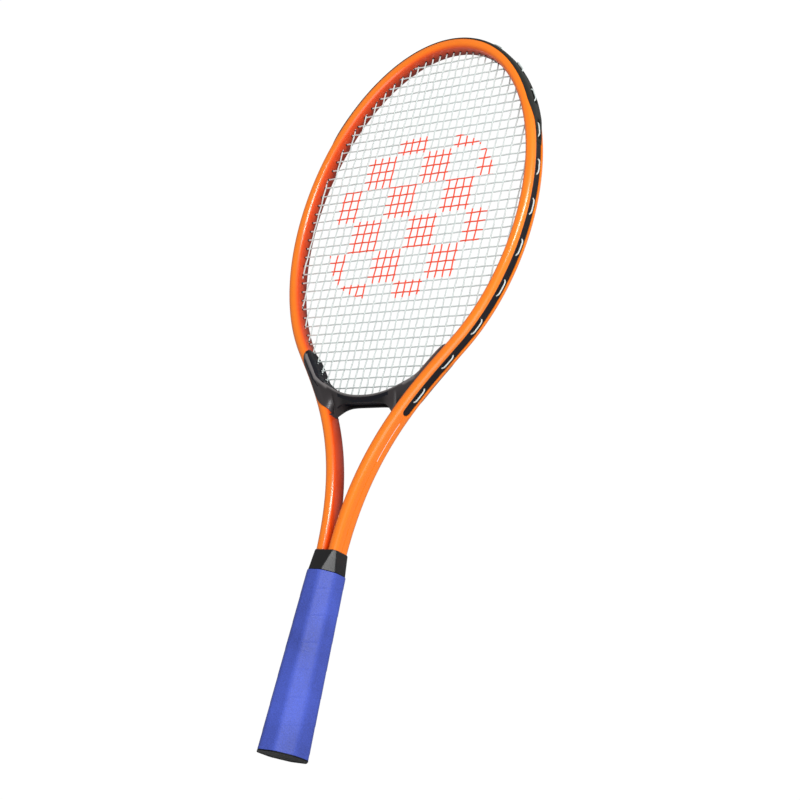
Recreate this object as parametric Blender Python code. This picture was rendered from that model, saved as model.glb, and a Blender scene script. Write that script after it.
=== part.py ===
"""Tennis training racket lying flat: X across the head, Y from butt to head, Z up through the strings."""
import math

import bmesh
import bpy
import numpy as np

# Driving dimensions, in metres and degrees
RACKET_LENGTH = 0.685
GRIP_LENGTH = 0.158
COLLAR_LENGTH = 0.0197

TUBE_WIDTH = 0.0103
TUBE_DEPTH = 0.0188
TUBE_WALL = 0.0012
TUBE_CORNER = 0.0045
BORE_CHAMFER_SHARE = 0.6
HEAD_HALF_WIDTH = 0.1293
HEAD_UPPER = 0.1797
HEAD_LOWER = 0.1763
LEG_JOIN_ANGLE = 46.7
LEG_UPPER_TENSION = 0.2688
LEG_LOWER_TENSION = 0.5282
LEG_GAP = 0.0031
LEG_MERGE_DEPTH = 0.0086
LEG_END = 0.030

GROOVE_WIDTH = 0.0088
GROOVE_DEPTH = 0.0026
GROOVE_FADE = 0.012
STRIP_REACH = 0.1933
STRIP_THICKNESS = 0.0014
STRIP_END_SHARE = 0.4
GUARD_REACH = 0.0765
GUARD_FULL_REACH = 0.1035
GUARD_STAND = 0.00165
GUARD_EDGE = 0.0006
GUARD_WRAP = 51
GUARD_TAIL_WRAP = 6
GUARD_CHANNEL = 0.0046

BRIDGE_REACH = 0.178
BRIDGE_THICKNESS = 0.006
BRIDGE_FOOT_DROP = 0.0125
BRIDGE_FOOT_CURVE = 6
BRIDGE_RISE = 0.042
BRIDGE_SPAN = 0.080
BRIDGE_CURVE = 2.2
BRIDGE_PROUD = 0.0010
BRIDGE_EDGE = 0.0009
WING_RISE = 0.046
WING_WALL = 0.0014
RECESS_HEIGHT = 0.003
RECESS_END_WALL = 0.0042
RECESS_DEPTH = 0.0088
BRIDGE_STRIP_THICKNESS = 0.0011

STRING_RADIUS = 0.0007
MAIN_COUNT = 16
MAIN_PITCH = 0.0135
CROSS_COUNT = 19
CROSS_PITCH = 0.017
BRIDGE_MAINS = 6
RECESS_STRING_MARGIN = 0.0028
STRING_LAYER = 0.00085
STRING_LEAD = 0.0016
BED_LEAD = 0.0019
STRING_BEND = 0.00105
HOLE_HALF = 0.0010

GRIP_BUTT_HALF = 0.02165
GRIP_TOP_HALF = 0.01685
WRAP_THICKNESS = 0.0018
COLLAR_BASE_HALF = 0.0161
COLLAR_WALL = 0.0005
COLLAR_CORNER_SHARE = 0.62
CAP_FLANGE = 0.0012
CAP_PLATE = 0.0030
CAP_SKIRT = 0.024
CAP_WALL = 0.0015

SCREW_RADIUS = 0.00125
SCREW_HEAD_RADIUS = 0.0021
SCREW_HEAD_HEIGHT = 0.0018
SCREW_Y = 0.045
SCREW_TIP = -0.0080
SCREW_HEAD_SEAT = 0.0056
STAPLE_CROWN = 0.0085
STAPLE_LEG = 0.0058
STAPLE_WIRE = 0.0007
STAPLE_Y = 0.0135
TACK_RADIUS = 0.0006
TACK_HEAD_RADIUS = 0.0016
TACK_HEAD_HEIGHT = 0.0006
TACK_LENGTH = 0.0060
TACK_Y = 0.034
PIN_RADIUS = 0.0014
PIN_RISE = 0.004
PIN_LENGTH = 0.0080

CLEARANCE = 0.0003

# Segments along the tube, right half
LEG_SEGMENTS = 5
SHOULDER_SEGMENTS = 4
LOWER_SEGMENTS = 8
SIDE_SEGMENTS = 5
GUARD_TAIL_SEGMENTS = 5
TOP_SEGMENTS = 8
CORNER_SEGMENTS = 3
LOOP_STEP = 0.007
BEND_MIN_ANGLE = 25
BEND_STEP_ANGLE = 50
GAP_SAMPLE = 0.002
GAP_NEIGHBOUR_RADII = 6

# Worked out from the driving dimensions
HEAD_CENTRE = RACKET_LENGTH - GUARD_STAND - TUBE_WIDTH / 2 - HEAD_UPPER
LEG_X = (TUBE_WIDTH + LEG_GAP) / 2
LEG_MERGE = GRIP_LENGTH + COLLAR_LENGTH - LEG_MERGE_DEPTH
GROOVE_FLOOR = TUBE_WIDTH / 2 - GROOVE_DEPTH
STRIP_BASE = GROOVE_FLOOR + CLEARANCE
STRIP_TOP = STRIP_BASE + STRIP_THICKNESS
LOOP_OFFSET = STRIP_TOP + CLEARANCE + STRING_RADIUS
STRIP_START = HEAD_CENTRE - STRIP_REACH
GUARD_START = HEAD_CENTRE + GUARD_REACH
BRIDGE_BED = HEAD_CENTRE - BRIDGE_REACH
BRIDGE_UNDERSIDE = BRIDGE_BED - BRIDGE_THICKNESS
BRIDGE_FOOT = BRIDGE_UNDERSIDE - BRIDGE_FOOT_DROP
WING_TIP = BRIDGE_BED + WING_RISE
PIN_Y = BRIDGE_FOOT + PIN_RISE
CROSS_FIRST = HEAD_CENTRE - CROSS_PITCH * (CROSS_COUNT - 1) / 2
BRIDGE_HALF_DEPTH = TUBE_DEPTH / 2 + BRIDGE_PROUD
RECESS_FLOOR = BRIDGE_UNDERSIDE + RECESS_HEIGHT
BRIDGE_STRIP_TOP = RECESS_FLOOR - CLEARANCE
BRIDGE_STRIP_BASE = BRIDGE_STRIP_TOP - BRIDGE_STRIP_THICKNESS
BRIDGE_LOOP_Y = BRIDGE_STRIP_BASE - CLEARANCE - STRING_RADIUS
GRIP_TAPER = (GRIP_TOP_HALF - GRIP_BUTT_HALF) / GRIP_LENGTH
FLAT_TO_CORNER = math.tan(math.radians(22.5))


# Colours

def linear(value):
    value /= 255
    return value / 12.92 if value <= 0.04045 else ((value + 0.055) / 1.055) ** 2.4


def material(name, red, green, blue, roughness, metallic=0.0):
    made = bpy.data.materials.new(name)
    made.use_nodes = True
    shader = made.node_tree.nodes["Principled BSDF"]
    shader.inputs["Base Color"].default_value = (linear(red), linear(green), linear(blue), 1)
    shader.inputs["Roughness"].default_value = roughness
    shader.inputs["Metallic"].default_value = metallic
    made.diffuse_color = (linear(red), linear(green), linear(blue), 1)
    return made


# The tube's centreline

def unit(vector):
    return vector / np.hypot(*vector)


def ellipse_place(angle, height):
    """Place and travel direction on the right side of the head, angle up from its widest point."""
    place = np.array([HEAD_HALF_WIDTH * math.cos(angle), HEAD_CENTRE + height * math.sin(angle)])
    travel = np.array([-HEAD_HALF_WIDTH * math.sin(angle), height * math.cos(angle)])
    return place, unit(travel)


def leg_place(share):
    """Place and travel direction on the right leg's bend, share 0 at the handle and 1 at the head."""
    join, travel = ellipse_place(-math.radians(LEG_JOIN_ANGLE), HEAD_LOWER)
    foot = np.array([LEG_X, LEG_MERGE])
    rise = join[1] - LEG_MERGE
    points = [foot, foot + [0, rise * LEG_LOWER_TENSION], join - travel * rise * LEG_UPPER_TENSION, join]
    back = 1 - share
    weights = [back**3, 3 * back**2 * share, 3 * back * share**2, share**3]
    place = sum(weight * point for weight, point in zip(weights, points))
    slope_weights = [back**2, 2 * back * share, share**2]
    steps = [end - start for start, end in zip(points, points[1:])]
    slope = sum(weight * step for weight, step in zip(slope_weights, steps))
    return place, unit(slope)


def frame_place(along):
    """Centre and outward normal, right half: 1 the straight leg's end, 2 the bend's, 3 the side, 4 the top."""
    if along <= 1:
        place = np.array([LEG_X, LEG_END + (LEG_MERGE - LEG_END) * along])
        travel = np.array([0.0, 1.0])
    elif along <= 2:
        place, travel = leg_place(along - 1)
    elif along <= 3:
        place, travel = ellipse_place(-math.radians(LEG_JOIN_ANGLE) * (3 - along), HEAD_LOWER)
    else:
        place, travel = ellipse_place(math.pi / 2 * (along - 3), HEAD_UPPER)
    return place, np.array([travel[1], -travel[0]])


def frame_point(along, offset):
    place, normal = frame_place(along)
    return place + normal * offset


def bisect(function, low, high):
    rising = function(high) > function(low)
    for _ in range(50):
        middle = (low + high) / 2
        if (function(middle) > 0) == rising:
            high = middle
        else:
            low = middle
    return (low + high) / 2


def along_at_y(y, offset=0.0):
    return bisect(lambda along: frame_point(along, offset)[1] - y, 0.0, 4.0)


def spread(start, end, segments):
    return [start + (end - start) * i / segments for i in range(segments)]


GROOVE_START = along_at_y(STRIP_START)
GROOVE_END = along_at_y(STRIP_START - GROOVE_FADE)
GUARD_ALONG = along_at_y(GUARD_START)
GUARD_FULL_ALONG = along_at_y(HEAD_CENTRE + GUARD_FULL_REACH)
STRIP_STATIONS = (
    spread(GROOVE_START, 2, SHOULDER_SEGMENTS) + spread(2, 3, LOWER_SEGMENTS)
    + spread(3, GUARD_ALONG, SIDE_SEGMENTS) + [GUARD_ALONG]
)
GUARD_STATIONS = (
    spread(GUARD_ALONG, GUARD_FULL_ALONG, GUARD_TAIL_SEGMENTS)
    + spread(GUARD_FULL_ALONG, 4, TOP_SEGMENTS) + [4.0]
)
BRIDGE_FOOT_X = frame_point(along_at_y(BRIDGE_FOOT), -TUBE_WIDTH / 2)[0]
RECESS_HALF_SPAN = BRIDGE_FOOT_X - RECESS_END_WALL
BRIDGE_FAN = (RECESS_HALF_SPAN - RECESS_STRING_MARGIN) / (MAIN_PITCH * (BRIDGE_MAINS - 1) / 2)
TUBE_STATIONS = (
    spread(0, 1, 1) + spread(1, GROOVE_END, LEG_SEGMENTS) + [GROOVE_END]
    + STRIP_STATIONS[:-1] + GUARD_STATIONS
)


# Meshes

def add_object(name, made_mesh, look):
    made = bpy.data.objects.new(name, made_mesh)
    bpy.context.scene.collection.objects.link(made)
    if look:
        made_mesh.materials.append(look)
    made_mesh.shade_smooth()
    made_mesh.set_sharp_from_angle(angle=math.radians(35))
    return made


def mesh_from(build, name, look=None):
    made_mesh = bpy.data.meshes.new(name)
    shape = bmesh.new()
    build(shape)
    bmesh.ops.recalc_face_normals(shape, faces=shape.faces)
    shape.to_mesh(made_mesh)
    shape.free()
    return add_object(name, made_mesh, look)


def loft_rings(shape, rings, closed=False):
    """Skins rings of equal counts in turn. The ends are capped, or closed joins the last ring to the first."""
    rows = [[shape.verts.new(point) for point in ring] for ring in rings]
    count = len(rows[0])
    pairs = list(zip(rows, rows[1:]))
    if closed:
        pairs.append((rows[-1], rows[0]))
    for lower, upper in pairs:
        for i in range(count):
            j = (i + 1) % count
            shape.faces.new([lower[i], lower[j], upper[j], upper[i]])
    if not closed:
        shape.faces.new(rows[0][::-1])
        shape.faces.new(rows[-1])
    return rows


def loft(name, rings, look=None, closed=False):
    return mesh_from(lambda shape: loft_rings(shape, rings, closed), name, look)


def box(name, low, high, look=None):
    x0, y0, z0 = low
    x1, y1, z1 = high
    rings = [[(x0, y0, z), (x1, y0, z), (x1, y1, z), (x0, y1, z)] for z in (z0, z1)]
    return loft(name, rings, look)


def cutter(made):
    made.hide_render = True
    made.display_type = "WIRE"
    return made


def subtract(target, *cutters):
    for tool in cutters:
        cut = target.modifiers.new(tool.name, "BOOLEAN")
        cut.operation = "DIFFERENCE"
        cut.solver = "EXACT"
        cut.object = tool


def swept_ring(along, side, section):
    """The section's (outward, up) points set square to the centreline, side 1 the right and -1 the left."""
    place, normal = frame_place(along)
    return [
        (side * (place[0] + normal[0] * out), place[1] + normal[1] * out, up) for out, up in section
    ]


def whole_frame_rings(section_at, lengthen=0.0):
    """Rings from the right leg's end over the top to the left leg's end, each end run on by lengthen."""
    right = [swept_ring(along, 1, section_at(along)) for along in TUBE_STATIONS]
    left = [swept_ring(along, -1, section_at(along)) for along in TUBE_STATIONS[-2::-1]]
    for ring in (right[0], left[-1]):
        ring[:] = [(x, y - lengthen, z) for x, y, z in ring]
    return right + left


# The frame

def rounded_section(half_width, half_depth, radius, segments):
    """A round-cornered rectangle as (outward, up) points, starting at the lower end of its outer face."""
    points = []
    corners = ((1, 1, 0), (-1, 1, 90), (-1, -1, 180), (1, -1, 270))
    for out_sign, up_sign, start in corners:
        for i in range(segments + 1):
            turn = math.radians(start + 90 * i / segments)
            out = out_sign * (half_width - radius) + radius * math.cos(turn)
            up = up_sign * (half_depth - radius) + radius * math.sin(turn)
            points.append((out, up))
    return points


def tube_section(along):
    """The tube's outside, with the groove's four corners in its outer face."""
    fade = (along - GROOVE_END) / (GROOVE_START - GROOVE_END)
    depth = GROOVE_DEPTH * min(1.0, max(0.0, fade))
    outer = TUBE_WIDTH / 2
    half = GROOVE_WIDTH / 2
    groove = [(outer, -half), (outer - depth, -half), (outer - depth, half), (outer, half)]
    return groove + rounded_section(outer, TUBE_DEPTH / 2, TUBE_CORNER, CORNER_SEGMENTS)


def bore_section(along):
    """The hollow inside the tube, clear of the groove by one wall."""
    inner = -TUBE_WIDTH / 2 + TUBE_WALL
    outer = GROOVE_FLOOR - TUBE_WALL
    half = TUBE_DEPTH / 2 - TUBE_WALL
    chamfer = (TUBE_CORNER - TUBE_WALL) * BORE_CHAMFER_SHARE
    return [
        (outer, -half + chamfer), (outer, half - chamfer), (outer - chamfer, half), (inner + chamfer, half),
        (inner, half - chamfer), (inner, -half + chamfer), (inner + chamfer, -half), (outer - chamfer, -half),
    ]


def envelope(name, side):
    """The outside of one half of the tube with the fitting clearance round it, for what fits over the tube."""
    section = rounded_section(
        TUBE_WIDTH / 2 + CLEARANCE, TUBE_DEPTH / 2 + CLEARANCE, TUBE_CORNER + CLEARANCE, CORNER_SEGMENTS
    )
    rings = [swept_ring(along, side, section) for along in TUBE_STATIONS]
    rings[0] = [(x, y - CLEARANCE, z) for x, y, z in rings[0]]
    return cutter(loft(name, rings))


def build_frame(look, hole_cutters, pin_cutters):
    frame = loft("frame_tube", whole_frame_rings(tube_section), look)
    bore = cutter(loft("tube_bore", whole_frame_rings(bore_section, lengthen=TUBE_WALL)))
    subtract(frame, bore, *hole_cutters, *pin_cutters)


# Strips and bumper guard

def build_strip(name, side, look, hole_cutters):
    half = GROOVE_WIDTH / 2 - CLEARANCE
    section = [(STRIP_BASE, -half), (STRIP_TOP, -half), (STRIP_TOP, half), (STRIP_BASE, half)]
    narrow = [(out, up / 2) for out, up in section]
    shoulder = GROOVE_START + (STRIP_STATIONS[1] - GROOVE_START) * STRIP_END_SHARE
    rings = [swept_ring(GROOVE_START, side, narrow), swept_ring(shoulder, side, section)]
    rings += [swept_ring(along, side, section) for along in STRIP_STATIONS[1:]]
    place, normal = frame_place(STRIP_STATIONS[-1])
    travel = np.array([-normal[1], normal[0]]) * CLEARANCE
    rings[-1] = [(x - side * travel[0], y - travel[1], z) for x, y, z in rings[-1]]
    subtract(loft(name, rings, look), *hole_cutters)


def guard_section(along):
    """A guard filling the groove and lapping round both corners, with the strings' channel down its middle."""
    share = min(1.0, (along - GUARD_ALONG) / (GUARD_FULL_ALONG - GUARD_ALONG))
    wrap = GUARD_TAIL_WRAP + (GUARD_WRAP - GUARD_TAIL_WRAP) * share
    centre_out = TUBE_WIDTH / 2 - TUBE_CORNER
    centre_up = TUBE_DEPTH / 2 - TUBE_CORNER
    seat = TUBE_CORNER + CLEARANCE
    thick = GUARD_STAND - CLEARANCE
    outside = []
    inside = []
    for i in range(CORNER_SEGMENTS + 1):
        part = i / CORNER_SEGMENTS
        turn = math.radians(wrap * part)
        stand = thick + (GUARD_EDGE - thick) * part
        for points, radius in ((outside, seat + stand), (inside, seat)):
            points.append((centre_out + radius * math.cos(turn), centre_up + radius * math.sin(turn)))
    half = GROOVE_WIDTH / 2 - CLEARANCE
    channel = GUARD_CHANNEL / 2
    upper = [(STRIP_TOP, channel), (outside[0][0], channel)] + outside + inside[::-1]
    upper += [(inside[0][0], half), (STRIP_BASE, half)]
    lower = [(out, -up) for out, up in reversed(upper)]
    return upper + lower


def build_guard(look, hole_cutters):
    right = [swept_ring(along, 1, guard_section(along)) for along in GUARD_STATIONS]
    left = [swept_ring(along, -1, guard_section(along)) for along in GUARD_STATIONS[-2::-1]]
    subtract(loft("bumper_guard", right + left, look), *hole_cutters)


# Throat bridge

def bridge_bed_y(x):
    return BRIDGE_BED + BRIDGE_RISE * (abs(x) / BRIDGE_SPAN) ** BRIDGE_CURVE


def bridge_bed_x(y):
    return BRIDGE_SPAN * ((y - BRIDGE_BED) / BRIDGE_RISE) ** (1 / BRIDGE_CURVE)


def wing_outline():
    """The right wing's lapping edge on the front: from the foot, over the tube's face, round the tip."""
    inner = -TUBE_WIDTH / 2
    lap = (
        (0.0, inner - CLEARANCE - BRIDGE_EDGE), (0.0, inner * 0.9), (0.09, inner * 0.65), (0.18, 0.0),
        (0.30, -inner * 0.33), (0.50, -inner * 0.46), (0.75, -inner * 0.42), (0.89, -inner * 0.15),
        (0.97, inner * 0.6), (1.0, inner - WING_WALL),
    )
    points = []
    for share, offset in lap:
        along = along_at_y(BRIDGE_FOOT + (WING_TIP - BRIDGE_FOOT) * share)
        points.append(frame_point(along, offset))
    return points


def bridge_outline():
    """The right half's outline: from the middle of the underside, round the wing, to the bed side's middle."""
    foot = wing_outline()[0]
    drop = BRIDGE_UNDERSIDE - foot[1]
    shares = (0.0, 0.5, 0.7, 0.8, 0.87, 0.94)
    under = []
    for share in shares:
        under.append(np.array([foot[0] * share, BRIDGE_UNDERSIDE - drop * share**BRIDGE_FOOT_CURVE]))
    wing = wing_outline()
    bed = []
    wall = -TUBE_WIDTH / 2 - WING_WALL
    for share in (0.9, 0.78, 0.64, 0.5, 0.37, 0.25, 0.14, 0.05, 0.0):
        x = wing[-1][0] * share
        edge = frame_point(bisect(lambda along: frame_point(along, wall)[0] - x, 1.0, 3.0), wall)
        bed.append(np.array([x, max(bridge_bed_y(x), edge[1] if share > 0.6 else 0.0)]))
    return under + wing + bed


def build_bridge(look, cutters):
    half = bridge_outline()
    whole = half + [np.array([-x, y]) for x, y in half[-2:0:-1]]
    rings = [[(x, y, z) for x, y in whole] for z in (-BRIDGE_HALF_DEPTH, BRIDGE_HALF_DEPTH)]
    bridge = loft("throat_bridge", rings, look)
    edges = bridge.modifiers.new("edges", "BEVEL")
    edges.width = BRIDGE_EDGE
    edges.segments = 1
    edges.limit_method = "ANGLE"
    edges.angle_limit = math.radians(75)
    recess = cutter(box(
        "bridge_recess", (-RECESS_HALF_SPAN, BRIDGE_FOOT - RECESS_HEIGHT, -RECESS_DEPTH / 2),
        (RECESS_HALF_SPAN, RECESS_FLOOR, RECESS_DEPTH / 2),
    ))
    subtract(bridge, recess, *cutters)


def build_bridge_strip(look, hole_cutters):
    half = RECESS_DEPTH / 2 - CLEARANCE
    span = RECESS_HALF_SPAN - CLEARANCE
    strip = box("bridge_grommet_strip", (-span, BRIDGE_STRIP_BASE, -half), (span, BRIDGE_STRIP_TOP, half), look)
    subtract(strip, *hole_cutters)


def pin_rings(side, radius, lengthen):
    along = along_at_y(PIN_Y)
    place, normal = frame_place(along)
    travel = np.array([-normal[1], normal[0]])
    start = -TUBE_WIDTH / 2 + TUBE_WALL + CLEARANCE * 2 + lengthen
    rings = []
    for out in (start, start - PIN_LENGTH - 2 * lengthen):
        ring = []
        for i in range(8):
            turn = math.radians(45 * i)
            flat = place + normal * out + travel * radius * math.cos(turn)
            ring.append((side * flat[0], flat[1], radius * math.sin(turn)))
        rings.append(ring)
    return rings


# Strings

def foot_on_frame(point):
    """Where along the tube the perpendicular from a point inside the head meets the centreline."""
    def ahead(along):
        place, normal = frame_place(along)
        travel = np.array([-normal[1], normal[0]])
        return float(np.dot(place - point, travel))
    return bisect(ahead, 1.2, 3.9)


def corner_offset():
    return -TUBE_WIDTH / 2 - STRING_LEAD


def main_top(x):
    """(bed corner, exit, along) where the main string at x meets the head's top."""
    side = math.copysign(1, x)
    offset = corner_offset()
    along = bisect(lambda at: frame_point(at, offset)[0] - abs(x), 3.0, 4.0)
    return mirrored(side, frame_point(along, offset), frame_point(along, LOOP_OFFSET), along)


def main_bottom(x):
    side = math.copysign(1, x)
    if abs(x) < MAIN_PITCH * BRIDGE_MAINS / 2:
        corner = np.array([abs(x), bridge_bed_y(x) + STRING_LEAD])
        leave = np.array([abs(x) * BRIDGE_FAN, BRIDGE_LOOP_Y])
        return mirrored(side, corner, leave, None)
    offset = corner_offset()
    plain = bisect(lambda at: frame_point(at, offset)[0] - abs(x), 1.2, 3.0)
    corner = frame_point(plain, offset)
    over_bridge = bridge_bed_y(x) + BED_LEAD
    if over_bridge > corner[1]:
        corner = np.array([abs(x), over_bridge])
        plain = foot_on_frame(corner)
    return mirrored(side, corner, frame_point(plain, LOOP_OFFSET), plain)


def cross_end(y, side):
    offset = corner_offset()
    along = along_at_y(y, offset)
    corner = frame_point(along, offset)
    if y < bridge_bed_y(corner[0] + STRING_LEAD):
        corner = np.array([bridge_bed_x(y) - BED_LEAD, y])
        along = foot_on_frame(corner)
    return mirrored(side, corner, frame_point(along, LOOP_OFFSET), along)


def mirrored(side, corner, leave, along):
    return (np.array([side * corner[0], corner[1]]), np.array([side * leave[0], leave[1]]), along, side)


def loop_points(start, end):
    """Points of a loop outside the frame between two ends, following the tube."""
    if start[2] is None:
        return []
    length = np.hypot(*(start[1] - end[1]))
    steps = max(2, round(length / LOOP_STEP))
    first = start[2] if start[3] > 0 else 8 - start[2]
    last = end[2] if end[3] > 0 else 8 - end[2]
    points = []
    for i in range(1, steps):
        along = first + (last - first) * i / steps
        side = 1 if along <= 4 else -1
        point = frame_point(along if side > 0 else 8 - along, LOOP_OFFSET)
        points.append(np.array([side * point[0], point[1]]))
    return points


def snake(runs):
    """One string's corners from its runs, each a (first end, second end) pair, joined by the loops outside."""
    points = []
    for index, (first, second) in enumerate(runs):
        points += [first[1], first[0], second[0], second[1]]
        if index + 1 < len(runs):
            points += loop_points(second, runs[index + 1][0])
    return points


def main_runs():
    runs = []
    for index in range(MAIN_COUNT):
        x = MAIN_PITCH * (index - (MAIN_COUNT - 1) / 2)
        ends = (main_bottom(x), main_top(x))
        runs.append(ends if index % 2 == 0 else ends[::-1])
    return runs


def cross_runs():
    runs = []
    for index in range(CROSS_COUNT):
        y = CROSS_FIRST + CROSS_PITCH * index
        ends = (cross_end(y, -1), cross_end(y, 1))
        runs.append(ends if index % 2 == 0 else ends[::-1])
    return runs


def rounded_corners(points, radius):
    """Each sharp corner of a route is replaced by an arc of short chords."""
    route = [points[0]]
    for before, corner, after in zip(points, points[1:], points[2:]):
        into = unit(corner - before)
        out = unit(after - corner)
        turn = math.acos(max(-1.0, min(1.0, float(np.dot(into, out)))))
        if turn < math.radians(BEND_MIN_ANGLE):
            route.append(corner)
            continue
        reach = radius * math.tan(turn / 2)
        reach = min(reach, 0.45 * np.hypot(*(corner - before)), 0.45 * np.hypot(*(after - corner)))
        steps = math.ceil(turn / math.radians(BEND_STEP_ANGLE))
        start = corner - into * reach
        end = corner + out * reach
        for i in range(steps + 1):
            share = i / steps
            flat = start * (1 - share) ** 2 + corner * 2 * share * (1 - share) + end * share**2
            route.append(flat)
    route.append(points[-1])
    return route


def least_gap(route, radius):
    """The smallest gap between two stretches of one string that aren't neighbours along it."""
    samples = []
    travelled = []
    total = 0.0
    for start, end in zip(route, route[1:]):
        length = np.hypot(*(end - start))
        count = max(1, round(length / GAP_SAMPLE))
        for i in range(count):
            samples.append(start + (end - start) * i / count)
            travelled.append(total + length * i / count)
        total += length
    samples = np.array(samples)
    travelled = np.array(travelled)
    least = math.inf
    for point, at in zip(samples, travelled):
        far = abs(travelled - at) > GAP_NEIGHBOUR_RADII * radius
        least = min(least, np.hypot(*(samples[far] - point).T).min())
    return least - 2 * radius


def build_string(name, runs, layer, look):
    route = rounded_corners(snake(runs), STRING_BEND)
    gap = least_gap(route, STRING_RADIUS)
    print(f"{name}: {len(route)} points, least gap to itself {gap * 1000:.2f} mm")
    curve = bpy.data.curves.new(name, "CURVE")
    curve.dimensions = "3D"
    curve.bevel_depth = STRING_RADIUS
    curve.bevel_resolution = 1
    curve.use_fill_caps = True
    curve.materials.append(look)
    spline = curve.splines.new("POLY")
    spline.points.add(len(route) - 1)
    for point, (x, y) in zip(spline.points, route):
        point.co = (x, y, layer, 1)
    made = bpy.data.objects.new(name, curve)
    bpy.context.scene.collection.objects.link(made)


def hole_prism(shape, end, layer):
    """A square prism round the string's way through the frame, from the bed side to past its exit."""
    corner, leave = end[0], end[1]
    travel = unit(leave - corner)
    across = np.array([-travel[1], travel[0]]) * HOLE_HALF
    rings = []
    for flat in (corner - travel * STRING_RADIUS, leave + travel * STRING_RADIUS * 2):
        rings.append([
            (*(flat + across * a), layer + HOLE_HALF * b) for a, b in ((-1, -1), (1, -1), (1, 1), (-1, 1))
        ])
    loft_rings(shape, rings)


def hole_cutter(name, runs, layer):
    ends = [end for run in runs for end in run]
    return cutter(mesh_from(lambda shape: [hole_prism(shape, end, layer) for end in ends], name))


# Handle

def grip_half(y):
    return GRIP_BUTT_HALF + GRIP_TAPER * y


def octagon(half_x, half_z, y, chamfer=None):
    """Eight points at y, flats square to X and Z, chamfer being each corner's cut along both."""
    cut = half_x * (1 - FLAT_TO_CORNER) if chamfer is None else chamfer
    return [
        (half_x, y, half_z - cut), (half_x - cut, y, half_z),
        (-half_x + cut, y, half_z), (-half_x, y, half_z - cut),
        (-half_x, y, -half_z + cut), (-half_x + cut, y, -half_z),
        (half_x - cut, y, -half_z), (half_x, y, -half_z + cut),
    ]


def even_octagon(half, y):
    return octagon(half, half, y)


def core_half(y):
    """Outside of what the wrap is wound on: the pallets, and the butt cap's skirt at their end."""
    return grip_half(y) - WRAP_THICKNESS - CLEARANCE


def build_pallet(name, up, look, cutters):
    inner = core_half(CAP_SKIRT) - CAP_WALL - CLEARANCE
    start = CAP_PLATE + CLEARANCE
    step = CAP_SKIRT + CLEARANCE
    end = GRIP_LENGTH - CLEARANCE
    rings = [
        even_octagon(inner, start), even_octagon(inner, step),
        even_octagon(core_half(step), step), even_octagon(core_half(end), end),
    ]
    pallet = loft(name, rings, look)
    reach = GRIP_BUTT_HALF * 2
    edge = CLEARANCE / 2
    low, high = ((-reach, edge) if up > 0 else (-edge, reach))
    other_half = cutter(box(f"{name}_split", (-reach, -reach, low), (reach, GRIP_LENGTH + reach, high)))
    subtract(pallet, other_half, *cutters)


def build_wrap(look, cutters):
    start = CAP_FLANGE + CLEARANCE
    end = GRIP_LENGTH - CLEARANCE
    rings = [
        even_octagon(grip_half(start), start), even_octagon(grip_half(end), end),
        even_octagon(grip_half(end) - WRAP_THICKNESS, end),
        even_octagon(grip_half(start) - WRAP_THICKNESS, start),
    ]
    subtract(loft("grip_wrap", rings, look, closed=True), *cutters)


def build_butt_cap(look, cutters):
    plug = grip_half(CAP_FLANGE) - WRAP_THICKNESS - CLEARANCE
    inside = core_half(CAP_SKIRT) - CAP_WALL
    rings = [
        even_octagon(GRIP_BUTT_HALF, 0.0), even_octagon(GRIP_BUTT_HALF, CAP_FLANGE),
        even_octagon(plug, CAP_FLANGE), even_octagon(core_half(CAP_SKIRT), CAP_SKIRT),
        even_octagon(inside, CAP_SKIRT), even_octagon(inside, CAP_PLATE),
    ]
    subtract(loft("butt_cap", rings, look), *cutters)


def build_collar(look, cutters):
    top = GRIP_LENGTH + COLLAR_LENGTH
    margin = CLEARANCE + COLLAR_WALL
    half_x = TUBE_WIDTH + LEG_GAP / 2 + margin
    half_z = TUBE_DEPTH / 2 + margin
    corner = TUBE_CORNER * COLLAR_CORNER_SHARE
    rings = [
        even_octagon(COLLAR_BASE_HALF, GRIP_LENGTH), octagon(half_x, half_z, top, chamfer=corner),
    ]
    subtract(loft("collar", rings, look), *cutters)


# Hidden fasteners

def turned(name, profile, centre, axis, look=None, sides=8):
    """Rings of (along the axis, radius) about a line through centre, axis being +Z or -Z."""
    rings = []
    for reach, radius in profile:
        ring = []
        for i in range(sides):
            turn = 2 * math.pi * (i + 0.5) / sides
            x = centre[0] + radius * math.cos(turn)
            y = centre[1] + radius * math.sin(turn)
            ring.append((x, y, centre[2] + axis * reach))
        rings.append(ring)
    return loft(name, rings, look)


def screw_profile(grow=0.0, open_to=0.0):
    seat = SCREW_HEAD_SEAT - grow
    return [
        (SCREW_TIP - grow, SCREW_RADIUS + grow), (seat, SCREW_RADIUS + grow), (seat, SCREW_HEAD_RADIUS + grow),
        (SCREW_HEAD_SEAT + SCREW_HEAD_HEIGHT + open_to, SCREW_HEAD_RADIUS + grow),
    ]


def screw_x():
    side_wall = TUBE_WIDTH + LEG_GAP / 2 + CLEARANCE
    return side_wall + 2 * CLEARANCE + SCREW_HEAD_RADIUS


def tack_profile(top, grow=0.0):
    base = top - TACK_HEAD_HEIGHT - grow
    return [
        (top - TACK_LENGTH - grow, TACK_RADIUS + grow), (base, TACK_RADIUS + grow),
        (base, TACK_HEAD_RADIUS + grow), (top + grow, TACK_HEAD_RADIUS + grow),
    ]


def tack_top():
    """The tack's head lies in a pocket in the wrap's inside, its shank in the front pallet."""
    return grip_half(TACK_Y) - WRAP_THICKNESS / 2 - CLEARANCE


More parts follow.
